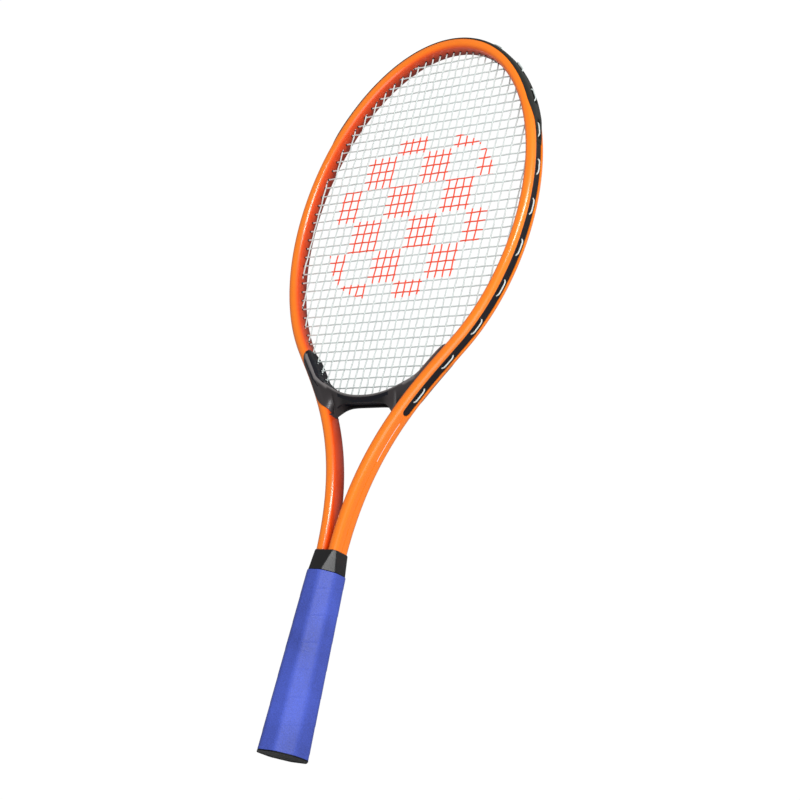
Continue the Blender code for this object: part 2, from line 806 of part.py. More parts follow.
def build_staple(name, up, look):
    """A wire staple: its crown along Y outside the skirt, its legs through the skirt into the pallet."""
    top = core_half(STAPLE_Y) - STAPLE_WIRE * 0.6
    y0 = STAPLE_Y - STAPLE_CROWN / 2
    y1 = STAPLE_Y + STAPLE_CROWN / 2
    wire = STAPLE_WIRE
    foot = top - STAPLE_LEG
    outline = [
        (y0, top), (y0, foot), (y0 + wire, foot), (y0 + wire, top - wire),
        (y1 - wire, top - wire), (y1 - wire, foot), (y1, foot), (y1, top),
    ]
    rings = [[(x, y, up * z) for y, z in outline] for x in (-wire / 2, wire / 2)]
    loft(name, rings, look)


def staple_slot(name, up):
    gap = CLEARANCE
    top = core_half(STAPLE_Y) + STAPLE_WIRE
    low = core_half(STAPLE_Y) - STAPLE_WIRE * 0.6 - STAPLE_LEG - gap
    half = STAPLE_CROWN / 2 + gap
    zs = sorted((up * low, up * top))
    wide = STAPLE_WIRE / 2 + gap
    return cutter(box(name, (-wide, STAPLE_Y - half, zs[0]), (wide, STAPLE_Y + half, zs[1])))


def main():
    for old in list(bpy.data.objects):
        bpy.data.objects.remove(old, do_unlink=True)

    paint = material("orange_paint", 250, 125, 35, 0.3)
    charcoal = material("charcoal_plastic", 62, 58, 58, 0.45)
    black = material("black_plastic", 20, 22, 26, 0.5)
    string_look = material("string", 222, 227, 225, 0.4)
    rubber = material("black_rubber", 24, 24, 28, 0.6)
    wrap_look = material("blue_wrap", 85, 105, 205, 0.75)
    foam = material("pallet_plastic", 190, 188, 180, 0.6)
    steel = material("steel", 180, 182, 186, 0.3, metallic=1.0)

    mains = main_runs()
    crosses = cross_runs()
    holes = (
        hole_cutter("main_string_holes", mains, STRING_LAYER),
        hole_cutter("cross_string_holes", crosses, -STRING_LAYER),
    )
    pin_sides = (("left", -1), ("right", 1))
    pin_holes = [
        cutter(loft(f"bridge_pin_hole_{name}", pin_rings(side, PIN_RADIUS + CLEARANCE, CLEARANCE)))
        for name, side in pin_sides
    ]
    envelopes = [envelope("tube_envelope_left", -1), envelope("tube_envelope_right", 1)]

    build_frame(paint, holes, pin_holes)
    build_strip("grommet_strip_right", 1, black, holes)
    build_strip("grommet_strip_left", -1, black, holes)
    build_guard(black, holes)
    build_bridge(charcoal, envelopes + list(holes) + pin_holes)
    build_bridge_strip(black, holes[:1])
    for name, side in pin_sides:
        loft(f"bridge_pin_{name}", pin_rings(side, PIN_RADIUS, 0.0), steel)
    build_string("main_string", mains, STRING_LAYER, string_look)
    build_string("cross_string", crosses, -STRING_LAYER, string_look)

    screw_sides = (("left", -1), ("right", 1))
    screw_holes = []
    for name, side in screw_sides:
        centre = (side * screw_x(), SCREW_Y, 0.0)
        turned(f"pallet_screw_{name}", screw_profile(), centre, 1, steel)
        open_profile = screw_profile(CLEARANCE, open_to=GRIP_BUTT_HALF)
        screw_holes.append(cutter(turned(f"pallet_screw_hole_{name}", open_profile, centre, 1)))
    tack_centre = (0.0, TACK_Y, 0.0)
    turned("grip_tack", tack_profile(tack_top()), tack_centre, 1, steel)
    tack_hole = cutter(turned("grip_tack_hole", tack_profile(tack_top(), CLEARANCE), tack_centre, 1))
    front_slot = staple_slot("staple_slot_front", 1)
    back_slot = staple_slot("staple_slot_back", -1)
    build_staple("butt_cap_staple_front", 1, steel)
    build_staple("butt_cap_staple_back", -1, steel)

    build_pallet("pallet_front", 1, foam, envelopes + screw_holes + [tack_hole, front_slot])
    build_pallet("pallet_back", -1, foam, envelopes + screw_holes + [back_slot])
    build_butt_cap(black, [front_slot, back_slot])
    build_wrap(wrap_look, [tack_hole])
    build_collar(rubber, envelopes)


main()
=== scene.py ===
import math

import bmesh
import bpy
import numpy as np
from mathutils import Matrix, Vector


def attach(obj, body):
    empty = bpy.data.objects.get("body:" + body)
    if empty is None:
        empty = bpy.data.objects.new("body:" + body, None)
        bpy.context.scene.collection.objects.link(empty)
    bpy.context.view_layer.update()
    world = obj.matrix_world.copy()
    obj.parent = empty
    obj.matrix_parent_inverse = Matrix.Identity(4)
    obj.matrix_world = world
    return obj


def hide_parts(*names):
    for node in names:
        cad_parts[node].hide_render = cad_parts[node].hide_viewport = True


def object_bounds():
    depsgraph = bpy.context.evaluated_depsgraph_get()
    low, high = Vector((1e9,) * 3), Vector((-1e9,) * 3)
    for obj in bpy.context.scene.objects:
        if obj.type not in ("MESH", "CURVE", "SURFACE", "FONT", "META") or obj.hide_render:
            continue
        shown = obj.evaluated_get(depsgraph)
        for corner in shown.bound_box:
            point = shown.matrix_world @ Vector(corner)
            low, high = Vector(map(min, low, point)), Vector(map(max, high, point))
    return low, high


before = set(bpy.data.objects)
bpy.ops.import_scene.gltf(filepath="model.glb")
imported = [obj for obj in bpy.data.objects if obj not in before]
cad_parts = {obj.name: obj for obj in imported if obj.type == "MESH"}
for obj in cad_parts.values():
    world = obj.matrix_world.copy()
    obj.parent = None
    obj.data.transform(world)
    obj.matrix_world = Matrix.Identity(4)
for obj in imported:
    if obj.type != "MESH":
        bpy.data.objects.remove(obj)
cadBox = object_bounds()
scene = bpy.context.scene
print("racket: CAD frame loaded")

# helpers for objects and node trees

def addObject(name, data):
    made = bpy.data.objects.new(name, data)
    scene.collection.objects.link(made)
    return made


class Tree:
    # a node tree with short ways to add to it, where a node stands for its first output
    def __init__(self, group):
        self.group, self.nodes = group, group.nodes

    def feed(self, value, socket):
        if isinstance(value, bpy.types.Node):
            value = value.outputs[0]
        if isinstance(value, bpy.types.NodeSocket):
            self.group.links.new(value, socket)
        else:
            socket.default_value = value

    def feedAll(self, values, sockets):
        for value, socket in zip(values, sockets):
            self.feed(value, socket)

    def add(self, kind, settings=None, **values):
        node = self.nodes.new(kind)
        for name, value in (settings or {}).items():
            setattr(node, name, value)
        for name, value in values.items():
            self.feed(value, node.inputs[name.replace("_", " ")])
        return node

    def math(self, operation, *values, kind="ShaderNodeMath"):
        node = self.add(kind, {"operation": operation})
        self.feedAll(values, node.inputs)
        return node.outputs[0]

    def integer(self, operation, *values):
        return self.math(operation, *values, kind="FunctionNodeIntegerMath")

    def scale(self, vector, by):
        return self.add("ShaderNodeVectorMath", {"operation": "SCALE"}, Vector=vector, Scale=by).outputs[0]

    def split(self, vector):
        return self.add("ShaderNodeSeparateXYZ", Vector=vector).outputs

    def between(self, value, low, high):
        over = self.math("GREATER_THAN", value, low)
        return self.math("MULTIPLY", over, self.math("LESS_THAN", value, high))

    def fade(self, value, low, high):
        # 0 below low, 1 above high; low may be the larger, which turns it round
        first, last = (0.0, 1.0) if low < high else (1.0, 0.0)
        return self.add(
            "ShaderNodeMapRange", {"interpolation_type": "SMOOTHSTEP"}, Value=value,
            From_Min=min(low, high), From_Max=max(low, high), To_Min=first, To_Max=last,
        ).outputs["Result"]

    def mix(self, share, first, second):
        node = self.add("ShaderNodeMix", {"data_type": "RGBA"})
        self.feedAll((share, first, second), (node.inputs[0], node.inputs[6], node.inputs[7]))
        return node.outputs[2]

    def named(self, name, kind="FLOAT_VECTOR"):
        node = self.add("GeometryNodeInputNamedAttribute", {"data_type": kind}, Name=name)
        return node.outputs["Attribute"]

    def sample(self, geometry, value, index):
        settings = {"data_type": "FLOAT_VECTOR", "domain": "POINT"}
        node = self.add("GeometryNodeSampleIndex", settings, Geometry=geometry, Value=value, Index=index)
        return node.outputs["Value"]


def newTree(name, kind, inputs, outputs):
    # inputs and outputs: (name, kind of socket, and its value where it needs one)
    group = bpy.data.node_groups.new(name, kind)
    tree = Tree(group)
    for way, sockets in (("INPUT", inputs), ("OUTPUT", outputs)):
        for label, socketKind, *value in sockets:
            socket = group.interface.new_socket(label, in_out=way, socket_type=f"NodeSocket{socketKind}")
            if value:
                socket.default_value = value[0]
    return tree, tree.add("NodeGroupInput"), tree.add("NodeGroupOutput")


def colour(red, green, blue):
    def linear(value):
        value /= 255
        return value / 12.92 if value <= 0.04045 else ((value + 0.055) / 1.055) ** 2.4
    return (linear(red), linear(green), linear(blue), 1.0)


# the tube's centreline, as in the CAD (metres, degrees)

tube = dict(
    width=0.0103, depth=0.0188, corner=0.0045,
    headCentre=0.4985, headHalfWidth=0.1293, headUpper=0.1797, headLower=0.1763, joinAngle=46.7,
    legX=0.0067, legEnd=0.030, legMerge=0.1691, upperTension=0.2688, lowerTension=0.5282,
    grooveHalf=0.0044, grooveDepth=0.0026, grooveEdge=0.00025, grooveStart=0.3052,
    faceSteps=8, arcSteps=8, endSteps=12, legSteps=50, headSteps=190, lengthSteps=2401, bisections=50,
)
tubeOut, tubeUp, tubeCorner = tube["width"] / 2, tube["depth"] / 2, tube["corner"]
joinTurn = math.radians(tube["joinAngle"])


def clampShare(value, low, high):
    return min(1.0, max(0.0, (value - low) / (high - low)))


def smoothShare(value, low, high):
    share = clampShare(value, low, high)
    return share * share * (3 - 2 * share)


def unit(vector):
    return vector / np.hypot(*vector)


def ellipsePlace(angle, height):
    half = tube["headHalfWidth"]
    place = np.array([half * math.cos(angle), tube["headCentre"] + height * math.sin(angle)])
    return place, unit(np.array([-half * math.sin(angle), height * math.cos(angle)]))


def legPlace(share):
    join, travel = ellipsePlace(-joinTurn, tube["headLower"])
    foot = np.array([tube["legX"], tube["legMerge"]])
    rise = join[1] - foot[1]
    lower = foot + [0, rise * tube["lowerTension"]]
    points = [foot, lower, join - travel * rise * tube["upperTension"], join]
    back = 1 - share
    weights = [back**3, 3 * back**2 * share, 3 * back * share**2, share**3]
    slopeWeights = [back**2, 2 * back * share, share**2]
    steps = [end - start for start, end in zip(points, points[1:])]
    place = sum(weight * point for weight, point in zip(weights, points))
    return place, unit(sum(weight * step for weight, step in zip(slopeWeights, steps)))


def framePlace(along):
    # 0 to 1 the straight leg, 2 the bend's end, 3 the head's side, 4 its top, on the right
    if along <= 1:
        leg = tube["legEnd"] + (tube["legMerge"] - tube["legEnd"]) * along
        place, travel = np.array([tube["legX"], leg]), np.array([0.0, 1.0])
    elif along <= 2:
        place, travel = legPlace(along - 1)
    elif along <= 3:
        place, travel = ellipsePlace(-joinTurn * (3 - along), tube["headLower"])
    else:
        place, travel = ellipsePlace(math.pi / 2 * (along - 3), tube["headUpper"])
    return place, np.array([travel[1], -travel[0]])


def framePoint(along, offset):
    place, normal = framePlace(along)
    return place + normal * offset


def wholePlace(along):
    # as framePlace, and 4 to 8 goes on down the left side
    place, normal = framePlace(along if along <= 4 else 8 - along)
    return (place, normal) if along <= 4 else (place * [-1, 1], normal * [-1, 1])


def bisect(function, low, high):
    rising = function(high) > function(low)
    for _ in range(tube["bisections"]):
        middle = (low + high) / 2
        if (function(middle) > 0) == rising:
            high = middle
        else:
            low = middle
    return (low + high) / 2


def alongAtY(y, offset=0.0):
    return bisect(lambda along: framePoint(along, offset)[1] - y, 0.0, 4.0)


def alongAtX(x, offset, low, high):
    return bisect(lambda along: framePoint(along, offset)[0] - x, low, high)


# distance along the centreline, from the head's top down the right side
lengthAlongs = np.linspace(4.0, 1.0, tube["lengthSteps"])
lengthPlaces = np.array([framePlace(along)[0] for along in lengthAlongs])
lengthFromTop = np.concatenate([[0.0], np.cumsum(np.hypot(*np.diff(lengthPlaces, axis=0).T))])


def alongAtLength(length):
    right = float(np.interp(abs(length), lengthFromTop, lengthAlongs))
    return right if length >= 0 else 8 - right


def lengthAtY(y):
    return float(np.interp(-alongAtY(y), -lengthAlongs, lengthFromTop))


# the strings' sizes, and the places of their outer loops, evenly spaced round the head

strings = dict(
    radius=0.00066, sides=8, weave=0.00024, stepsPerCrossing=3,
    endFade=0.008, endDepth=0.0025,
    mainCount=28, mainPitch=0.007943, mainSpread=0.000004246, mainShift=-0.00128,
    crossCount=37, crossPitch=0.00919, crossMiddle=0.49703, lowestAlong=1.2, reachSteps=400,
    loopFirst=0.0198, loopPitch=0.0386, loopShift=-0.0043, loopLength=0.0152, loopsPerSide=12,
    loopSteps=16, loopRise=0.0020, guardLoopRise=0.0032, loopCurve=6, mainFacing=0.62,
    stripLoopOffset=0.00585, guardLoopOffset=0.0080, guardLoopY=0.600,
)
loopLengths = [strings["loopFirst"], -strings["loopFirst"]]
for index in range(1, strings["loopsPerSide"]):
    length = strings["loopShift"] + strings["loopPitch"] * (index + 0.5)
    loopLengths += [length, -length]

# materials

grainNoise = dict(fineDetail=3.0, broadScale=22.0, broadDetail=2.0, middle=0.5)


def makeGrainGroup():
    # fine moulded or painted grain: a colour that varies a little, a roughness and a bump height
    tree, start, end = newTree(
        "surface grain", "ShaderNodeTree",
        [("Vector", "Vector", (0, 0, 0)), ("Colour", "Color", (1, 1, 1, 1)), ("Scale", "Float", 900.0),
         ("Variation", "Float", 0.1), ("Roughness", "Float", 0.4), ("Roughness Spread", "Float", 0.1)],
        [("Colour", "Color"), ("Roughness", "Float"), ("Height", "Float")],
    )
    given = start.outputs
    noises = [
        tree.add("ShaderNodeTexNoise", Vector=given["Vector"], Scale=scale, Detail=detail).outputs["Fac"]
        for scale, detail in (
            (given["Scale"], grainNoise["fineDetail"]), (grainNoise["broadScale"], grainNoise["broadDetail"])
        )
    ]
    both = tree.math("ADD", *[tree.math("SUBTRACT", noise, grainNoise["middle"]) for noise in noises])
    gain = tree.math("MULTIPLY_ADD", both, given["Variation"], 1.0)
    rough = tree.math("MULTIPLY_ADD", both, given["Roughness Spread"], given["Roughness"])
    tree.feed(tree.scale(given["Colour"], gain), end.inputs["Colour"])
    tree.feed(rough, end.inputs["Roughness"])
    tree.feed(noises[0], end.inputs["Height"])
    return tree.group


grainGroup = makeGrainGroup()

finishes = dict(
    blackStrip=dict(
        colour=(14, 17, 26), scale=1500.0, variation=0.25, roughness=0.42, spread=0.12,
        specular=0.3, bump=0.00004, strength=0.25,
    ),
    guardPlastic=dict(
        colour=(28, 30, 25), scale=1300.0, variation=0.25, roughness=0.48, spread=0.12,
        specular=0.35, bump=0.00005, strength=0.3,
    ),
    collarRubber=dict(
        colour=(9, 9, 12), scale=1100.0, variation=0.2, roughness=0.42, spread=0.12,
        specular=0.55, bump=0.00005, strength=0.3,
    ),
    buttPlastic=dict(
        colour=(10, 10, 12), scale=1000.0, variation=0.2, roughness=0.5, spread=0.1,
        specular=0.3, bump=0.00005, strength=0.3,
    ),
    palletPlastic=dict(
        colour=(196, 194, 186), scale=800.0, variation=0.1, roughness=0.6, spread=0.1,
        specular=0.5, bump=0.00006, strength=0.3,
    ),
    orangePaint=dict(
        colour=(255, 127, 6), scale=1500.0, variation=0.16, roughness=0.5, spread=0.06,
        specular=0.15,
    ),
    bridgePlastic=dict(
        colour=(50, 46, 47), scale=1800.0, variation=0.25, roughness=0.34, spread=0.1,
        specular=0.5, bump=0.00003, strength=0.2,
    ),
    steel=dict(
        colour=(182, 184, 188), scale=2500.0, variation=0.1, roughness=0.3, spread=0.1,
        specular=0.5, metallic=1.0,
    ),
    string=dict(
        colour=(208, 216, 214), scale=1600.0, variation=0.12, roughness=0.35, spread=0.1,
        specular=0.5,
    ),
    blueWrap=dict(
        colour=(68, 87, 186), scale=1000.0, variation=1.0, roughness=0.5, spread=0.2,
        specular=0.5, bump=0.0002, strength=0.6,
    ),
)


def grained(name, finish):
    made = bpy.data.materials.new(name)
    made.use_nodes = True
    tree = Tree(made.node_tree)
    shader = tree.nodes["Principled BSDF"].inputs
    grain = tree.add(
        "ShaderNodeGroup", {"name": "grain", "node_tree": grainGroup},
        Vector=tree.add("ShaderNodeTexCoord", {"name": "place"}).outputs["Object"],
        Colour=colour(*finish["colour"]), Scale=finish["scale"], Variation=finish["variation"],
        Roughness=finish["roughness"], Roughness_Spread=finish["spread"],
    ).outputs
    tree.feed(grain["Colour"], shader["Base Color"])
    tree.feed(grain["Roughness"], shader["Roughness"])
    tree.feed(finish["specular"], shader["Specular IOR Level"])
    tree.feed(finish.get("metallic", 0.0), shader["Metallic"])
    if "bump" in finish:
        bump = tree.add(
            "ShaderNodeBump", {"name": "bump"}, Height=grain["Height"], Strength=finish["strength"],
            Distance=finish["bump"],
        )
        tree.feed(bump, shader["Normal"])
    return made


def lookParts(name):
    # a look's tree, its shader's inputs, its grain's outputs and its object coordinates
    tree = Tree(looks[name].node_tree)
    nodes = tree.nodes
    return tree, nodes["Principled BSDF"].inputs, nodes["grain"].outputs, nodes["place"].outputs["Object"]


looks = {name: grained(name, finish) for name, finish in finishes.items()}

# the inner and deep colours below are painted shade on the tube's inner face
paint = dict(
    innerShadeColour=(246, 78, 3), deepShadeColour=(142, 34, 3), lineColour=(250, 240, 230),
    coat={"Coat Weight": 0.7, "Coat Roughness": 0.22, "Coat IOR": 1.75},
    innerMiddle=0.5851, innerHalf=0.02, innerFade=0.15, deepShadeStart=0.0080, deepShadeFull=-0.0050,
    lineStart=0.2610, lineEnd=0.2960, lineX=0.0224, lineSlope=0.446, lineZ=-0.0005,
    lineHalf=0.0003,
)


def dressPaint():
    # painted shade, deeper on the head's inner face and more so towards its back, with a thin pale line on
    # the right leg
    tree, shader, grain, place = lookParts("orangePaint")
    x, y, z = tree.split(place)
    edge = tree.math("SUBTRACT", y, paint["lineStart"])
    edge = tree.math("MULTIPLY_ADD", edge, paint["lineSlope"], paint["lineX"])
    along = tree.between(y, paint["lineStart"], paint["lineEnd"])
    low, high = paint["lineZ"] - paint["lineHalf"], paint["lineZ"] + paint["lineHalf"]
    line = tree.math("MULTIPLY", along, tree.between(z, low, high))
    line = tree.math("MULTIPLY", line, tree.math("GREATER_THAN", x, edge))
    # painted shade: the sweep's around coordinate picks out the inner face, and the height sets how deep the
    # shade goes
    around = tree.split(tree.add("ShaderNodeUVMap", {"uv_map": "sweep"}))["Y"]
    off = tree.math("ABSOLUTE", tree.math("SUBTRACT", around, paint["innerMiddle"]))
    inner = tree.fade(off, paint["innerHalf"] + paint["innerFade"], paint["innerHalf"])
    front, back = paint["deepShadeStart"], paint["deepShadeFull"]
    depth = tree.add("ShaderNodeMapRange", Value=z, From_Min=front, From_Max=back)
    shade = tree.mix(depth, colour(*paint["innerShadeColour"]), colour(*paint["deepShadeColour"]))
    base = tree.mix(inner, grain["Colour"], shade)
    tree.feed(tree.mix(line, base, colour(*paint["lineColour"])), shader["Base Color"])
    for label, value in paint["coat"].items():
        shader[label].default_value = value


dressPaint()

stencil = dict(
    middleX=-0.003, middleY=0.501, halfX=0.090, halfY=0.083, power=2.6, square=0.033,
    backZ=-0.0012, colour=(250, 80, 44),
)


def dressString():
    # a chequered stencil in a rounded rectangle, on the front of the bed
    tree, shader, grain, place = lookParts("string")
    parts = tree.split(place)
    powers, squares = [], []
    for axis in "XY":
        off = tree.math("SUBTRACT", parts[axis], stencil[f"middle{axis}"])
        share = tree.math("ABSOLUTE", tree.math("DIVIDE", off, stencil[f"half{axis}"]))
        powers.append(tree.math("POWER", share, stencil["power"]))
        squares.append(tree.math("FLOOR", tree.math("DIVIDE", off, stencil["square"])))
    inside = tree.math("LESS_THAN", tree.math("ADD", *powers), 1.0)
    odd = tree.math("FLOORED_MODULO", tree.math("ADD", *squares), 2.0)
    front = tree.math("GREATER_THAN", parts["Z"], stencil["backZ"])
    painted = tree.math("MULTIPLY", tree.math("MULTIPLY", inside, odd), front)
    tree.feed(tree.mix(painted, grain["Colour"], colour(*stencil["colour"])), shader["Base Color"])


dressString()

wrapPores = dict(scale=1400.0)


def dressWrap():
    tree, _, grain, place = lookParts("blueWrap")
    pores = tree.add("ShaderNodeTexVoronoi", Vector=place, Scale=wrapPores["scale"])
    height = tree.math("ADD", grain["Height"], pores.outputs["Distance"])
    tree.feed(height, tree.nodes["bump"].inputs["Height"])


dressWrap()
print("racket: materials made")

# geometry node trees

def geometryTree(name, *inputs):
    geometry = ("Geometry", "Geometry")
    return newTree(name, "GeometryNodeTree", [geometry, *inputs], [geometry])


def closeTree(tree, geometry, start, end):
    smooth = tree.add("GeometryNodeSetShadeSmooth", Geometry=geometry)
    real = tree.add("GeometryNodeRealizeInstances", Geometry=smooth)
    clad = tree.add("GeometryNodeSetMaterial", Geometry=real, Material=start.outputs["Material"])
    tree.feed(clad, end.inputs["Geometry"])
    return tree.group


meshRules = dict(merge=0.000002, degenerate=0.0000005)


def makeSweepTree():
    # skins a section along a path whose points carry outward and (dip, narrow, size)
    tree, start, end = geometryTree("section along path", ("Section", "Object"), ("Material", "Material"))
    path = start.outputs["Geometry"]
    section = tree.add("GeometryNodeObjectInfo", Object=start.outputs["Section"]).outputs["Geometry"]
    sizes = [
        tree.add("GeometryNodeAttributeDomainSize", {"component": "MESH"}, Geometry=geometry)
        for geometry in (path, section)
    ]
    stations, corners = (size.outputs["Point Count"] for size in sizes)
    around = tree.integer("ADD", corners, 1)
    grid = tree.add("GeometryNodeMeshGrid", Size_X=1.0, Size_Y=1.0, Vertices_X=stations, Vertices_Y=around)
    index = tree.add("GeometryNodeInputIndex")
    station = tree.integer("DIVIDE_FLOOR", index, around)
    corner = tree.integer("MODULO", tree.integer("MODULO", index, around), corners)
    position = tree.add("GeometryNodeInputPosition")
    place = tree.sample(path, position, station)
    outward = tree.sample(path, tree.named("outward"), station)
    shape = tree.split(tree.sample(path, tree.named("shape"), station))
    flat = tree.split(tree.sample(section, position, corner))
    groove = tree.split(tree.sample(section, tree.named("groove"), corner))
    moves = []
    for axis in "XY":
        inset = tree.math("MULTIPLY", groove[axis], shape[axis])
        moves.append(tree.math("MULTIPLY", tree.math("SUBTRACT", flat[axis], inset), shape["Z"]))
    sideways = tree.scale(outward, moves[0])
    upward = tree.add("ShaderNodeCombineXYZ", Z=moves[1])
    moved = tree.math("ADD", sideways, upward, kind="ShaderNodeVectorMath")
    moved = tree.math("ADD", place, moved, kind="ShaderNodeVectorMath")
    mapped = tree.add(
        "GeometryNodeStoreNamedAttribute", {"data_type": "FLOAT2", "domain": "CORNER"},
        Geometry=grid.outputs["Mesh"], Name="sweep", Value=grid.outputs["UV Map"],
    )
    placed = tree.add("GeometryNodeSetPosition", Geometry=mapped, Position=moved)
    merged = tree.add("GeometryNodeMergeByDistance", Geometry=placed, Distance=meshRules["merge"])
    return closeTree(tree, merged, start, end)


def makeStringTree():
    # rounds the edges of a mesh into strings, woven over and under by main and cross number
    tree, start, end = geometryTree(
        "woven strings", ("Radius", "Float"), ("Sides", "Int"), ("Weave", "Float"), ("Material", "Material")
    )
    given = start.outputs
    curve = tree.add("GeometryNodeMeshToCurve", Mesh=given["Geometry"])
    waves = [
        tree.math("COSINE", tree.math("MULTIPLY", tree.named(name, "FLOAT"), math.pi))
        for name in ("mainNumber", "crossNumber")
    ]
    height = tree.math("MULTIPLY", tree.named("over", "FLOAT"), given["Weave"])
    lift = tree.math("MULTIPLY", tree.math("MULTIPLY", *waves), height)
    offset = tree.add("ShaderNodeCombineXYZ", Z=lift)
    woven = tree.add("GeometryNodeSetPosition", Geometry=curve, Offset=offset)
    ring = tree.add("GeometryNodeCurvePrimitiveCircle", Resolution=given["Sides"], Radius=given["Radius"])
    skin = tree.add("GeometryNodeCurveToMesh", Curve=woven, Profile_Curve=ring, Fill_Caps=True)
    return closeTree(tree, skin, start, end)


def makeTipTree():
    # one small tapered grommet tip at each point, pointing along its inward direction
    tree, start, end = geometryTree(
        "grommet tips", ("Sides", "Int"), ("Base Radius", "Float"), ("Tip Radius", "Float"),
        ("Height", "Float"), ("Material", "Material"),
    )
    given = start.outputs
    cone = tree.add(
        "GeometryNodeMeshCone", Vertices=given["Sides"], Radius_Top=given["Tip Radius"],
        Radius_Bottom=given["Base Radius"], Depth=given["Height"],
    )
    facing = tree.add("FunctionNodeAlignRotationToVector", {"axis": "Z"}, Vector=tree.named("inward"))
    spread = tree.add(
        "GeometryNodeInstanceOnPoints", Points=given["Geometry"], Instance=cone.outputs["Mesh"],
        Rotation=facing,
    )
    return closeTree(tree, spread, start, end)


def pathObject(name, points, edges, kind, attributes):
    mesh = bpy.data.meshes.new(name)
    mesh.from_pydata([tuple(map(float, point)) for point in points], edges, [])
    field = "vector" if kind == "FLOAT_VECTOR" else "value"
    for label, values in attributes.items():
        attribute = mesh.attributes.new(label, kind, "POINT")
        attribute.data.foreach_set(field, np.asarray(values, dtype=np.float32).ravel())
    return addObject(name, mesh)


def grown(name, source, tree, values, helpers=()):
    # runs the tree on the source object and keeps the result as a plain mesh piece
    modifier = source.modifiers.new(tree.name, "NODES")
    modifier.node_group = tree
    keys = {
        item.name: item.identifier for item in tree.interface.items_tree
        if item.item_type == "SOCKET" and item.in_out == "INPUT"
    }
    for label, value in values.items():
        modifier[keys[label]] = value
    graph = bpy.context.evaluated_depsgraph_get()
    graph.update()
    evaluated = source.evaluated_get(graph)
    mesh = bpy.data.meshes.new_from_object(evaluated, preserve_all_data_layers=True, depsgraph=graph)
    mesh.name = name
    source.modifiers.remove(modifier)
    for spare in (source, *helpers):
        bpy.data.objects.remove(spare, do_unlink=True)
    return pieceFrom(name, mesh)


def pieceFrom(name, mesh, materials=(), sharpAngle=40.0):
    shape = bmesh.new()
    shape.from_mesh(mesh)
    bmesh.ops.recalc_face_normals(shape, faces=shape.faces)
    shape.to_mesh(mesh)
    shape.free()
    for look in materials:
        mesh.materials.append(looks[look])
    mesh.shade_smooth()
    mesh.set_sharp_from_angle(angle=math.radians(sharpAngle))
    return addObject(name, mesh)


def lofted(name, rings, materials, sharpAngle, closed=False):
    # skins the rings, and caps the first and last unless they are joined into a closed loop
    count = len(rings[0])
    total = len(rings) * count
    faces = []
    for low in range(0, total if closed else total - count, count):
        high = (low + count) % total
        for j in range(count):
            k = (j + 1) % count
            faces.append((low + j, low + k, high + k, high + j))
    if not closed:
        faces += [tuple(range(count))[::-1], tuple(range(total - count, total))]
    mesh = bpy.data.meshes.new(name)
    mesh.from_pydata([tuple(map(float, point)) for ring in rings for point in ring], [], faces)
    shape = bmesh.new()
    shape.from_mesh(mesh)
    bmesh.ops.remove_doubles(shape, verts=shape.verts, dist=meshRules["merge"])
    bmesh.ops.dissolve_degenerate(shape, edges=shape.edges, dist=meshRules["degenerate"])
    shape.to_mesh(mesh)
    shape.free()
    return pieceFrom(name, mesh, materials, sharpAngle)


sweepTree = makeSweepTree()
stringTree = makeStringTree()
tipTree = makeTipTree()


def sweep(name, stations, section, grooves, look):
    # stations: (along, dip, narrow, size); section: (out, up); grooves: (lip, edge)
    places = [wholePlace(station[0]) for station in stations]
    path = pathObject(
        f"{name} path", [(*place, 0.0) for place, _ in places],
        [(i, i + 1) for i in range(len(places) - 1)], "FLOAT_VECTOR",
        {"outward": [(*normal, 0.0) for _, normal in places], "shape": [station[1:] for station in stations]},
    )
    outline = pathObject(
        f"{name} section", [(*point, 0.0) for point in section], [], "FLOAT_VECTOR",
        {"groove": [(*groove, 0.0) for groove in grooves]},
    )
    return grown(name, path, sweepTree, {"Section": outline, "Material": looks[look]}, [outline])


# frame tube

def roundEnd(length, half):
    # along and narrowing of each station round the lower end of a slot that starts at length
    steps = tube["endSteps"]
    distances = [half * (1 - math.cos(math.pi / 2 * i / steps)) for i in range(steps + 1)]
    return [
        (alongAtLength(length - distance), half - math.sqrt(max(0.0, half**2 - (half - distance) ** 2)))
        for distance in distances
    ]


def mirrored(stations):
    return [(8 - along, dip, narrow, size) for along, dip, narrow, size in stations[::-1]]


def buildFrameTube():
    half, depth, edge, steps = (tube[key] for key in ("grooveHalf", "grooveDepth", "grooveEdge", "arcSteps"))
    lips = [2 * i / tube["faceSteps"] - 1 for i in range(tube["faceSteps"] + 1)]
    arcs = []
    for out, up, start in ((1, 1, 0), (-1, 1, 90), (-1, -1, 180), (1, -1, 270)):
        for i in range(steps + 1):
            turn = math.radians(start + 90 * i / steps)
            arcs.append((
                out * (tubeOut - tubeCorner) + tubeCorner * math.cos(turn),
                up * (tubeUp - tubeCorner) + tubeCorner * math.sin(turn),
            ))
    section = [(tubeOut, half * lip) for lip in lips]
    section += [(tubeOut - edge, half), *arcs, (tubeOut - edge, -half)]
    grooves = [(1, lip) for lip in lips] + [(0, 1)] + [(0, 0)] * len(arcs) + [(0, -1)]
    slotAlong = alongAtY(tube["grooveStart"])
    legAlongs = [0.0, 0.5, 1.0, *np.linspace(1.0, slotAlong, tube["legSteps"])[1:]]
    stations = [(0.0, 0.0, half, 0.0)] + [(along, 0.0, half, 1.0) for along in legAlongs]
    ends = roundEnd(lengthAtY(tube["grooveStart"]), half)[1:]
    stations += [(along, depth, narrow, 1.0) for along, narrow in ends]
    headAlongs = np.linspace(stations[-1][0], 4.0, tube["headSteps"])[1:]
    stations += [(along, depth, 0.0, 1.0) for along in headAlongs]
    stations += mirrored(stations[:-1])
    return sweep("frame_tube_painted", stations, section, grooves, "orangePaint")


paintedTube = buildFrameTube()
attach(paintedTube, "root")
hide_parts("frame_tube")
print("racket: frame tube swept")

# grommet strips in the outer groove

strip = dict(
    base=0.00285, top=0.00425, half=0.0042, edge=0.0003, endInset=0.0004, endY=0.560,
    steps=120,
)


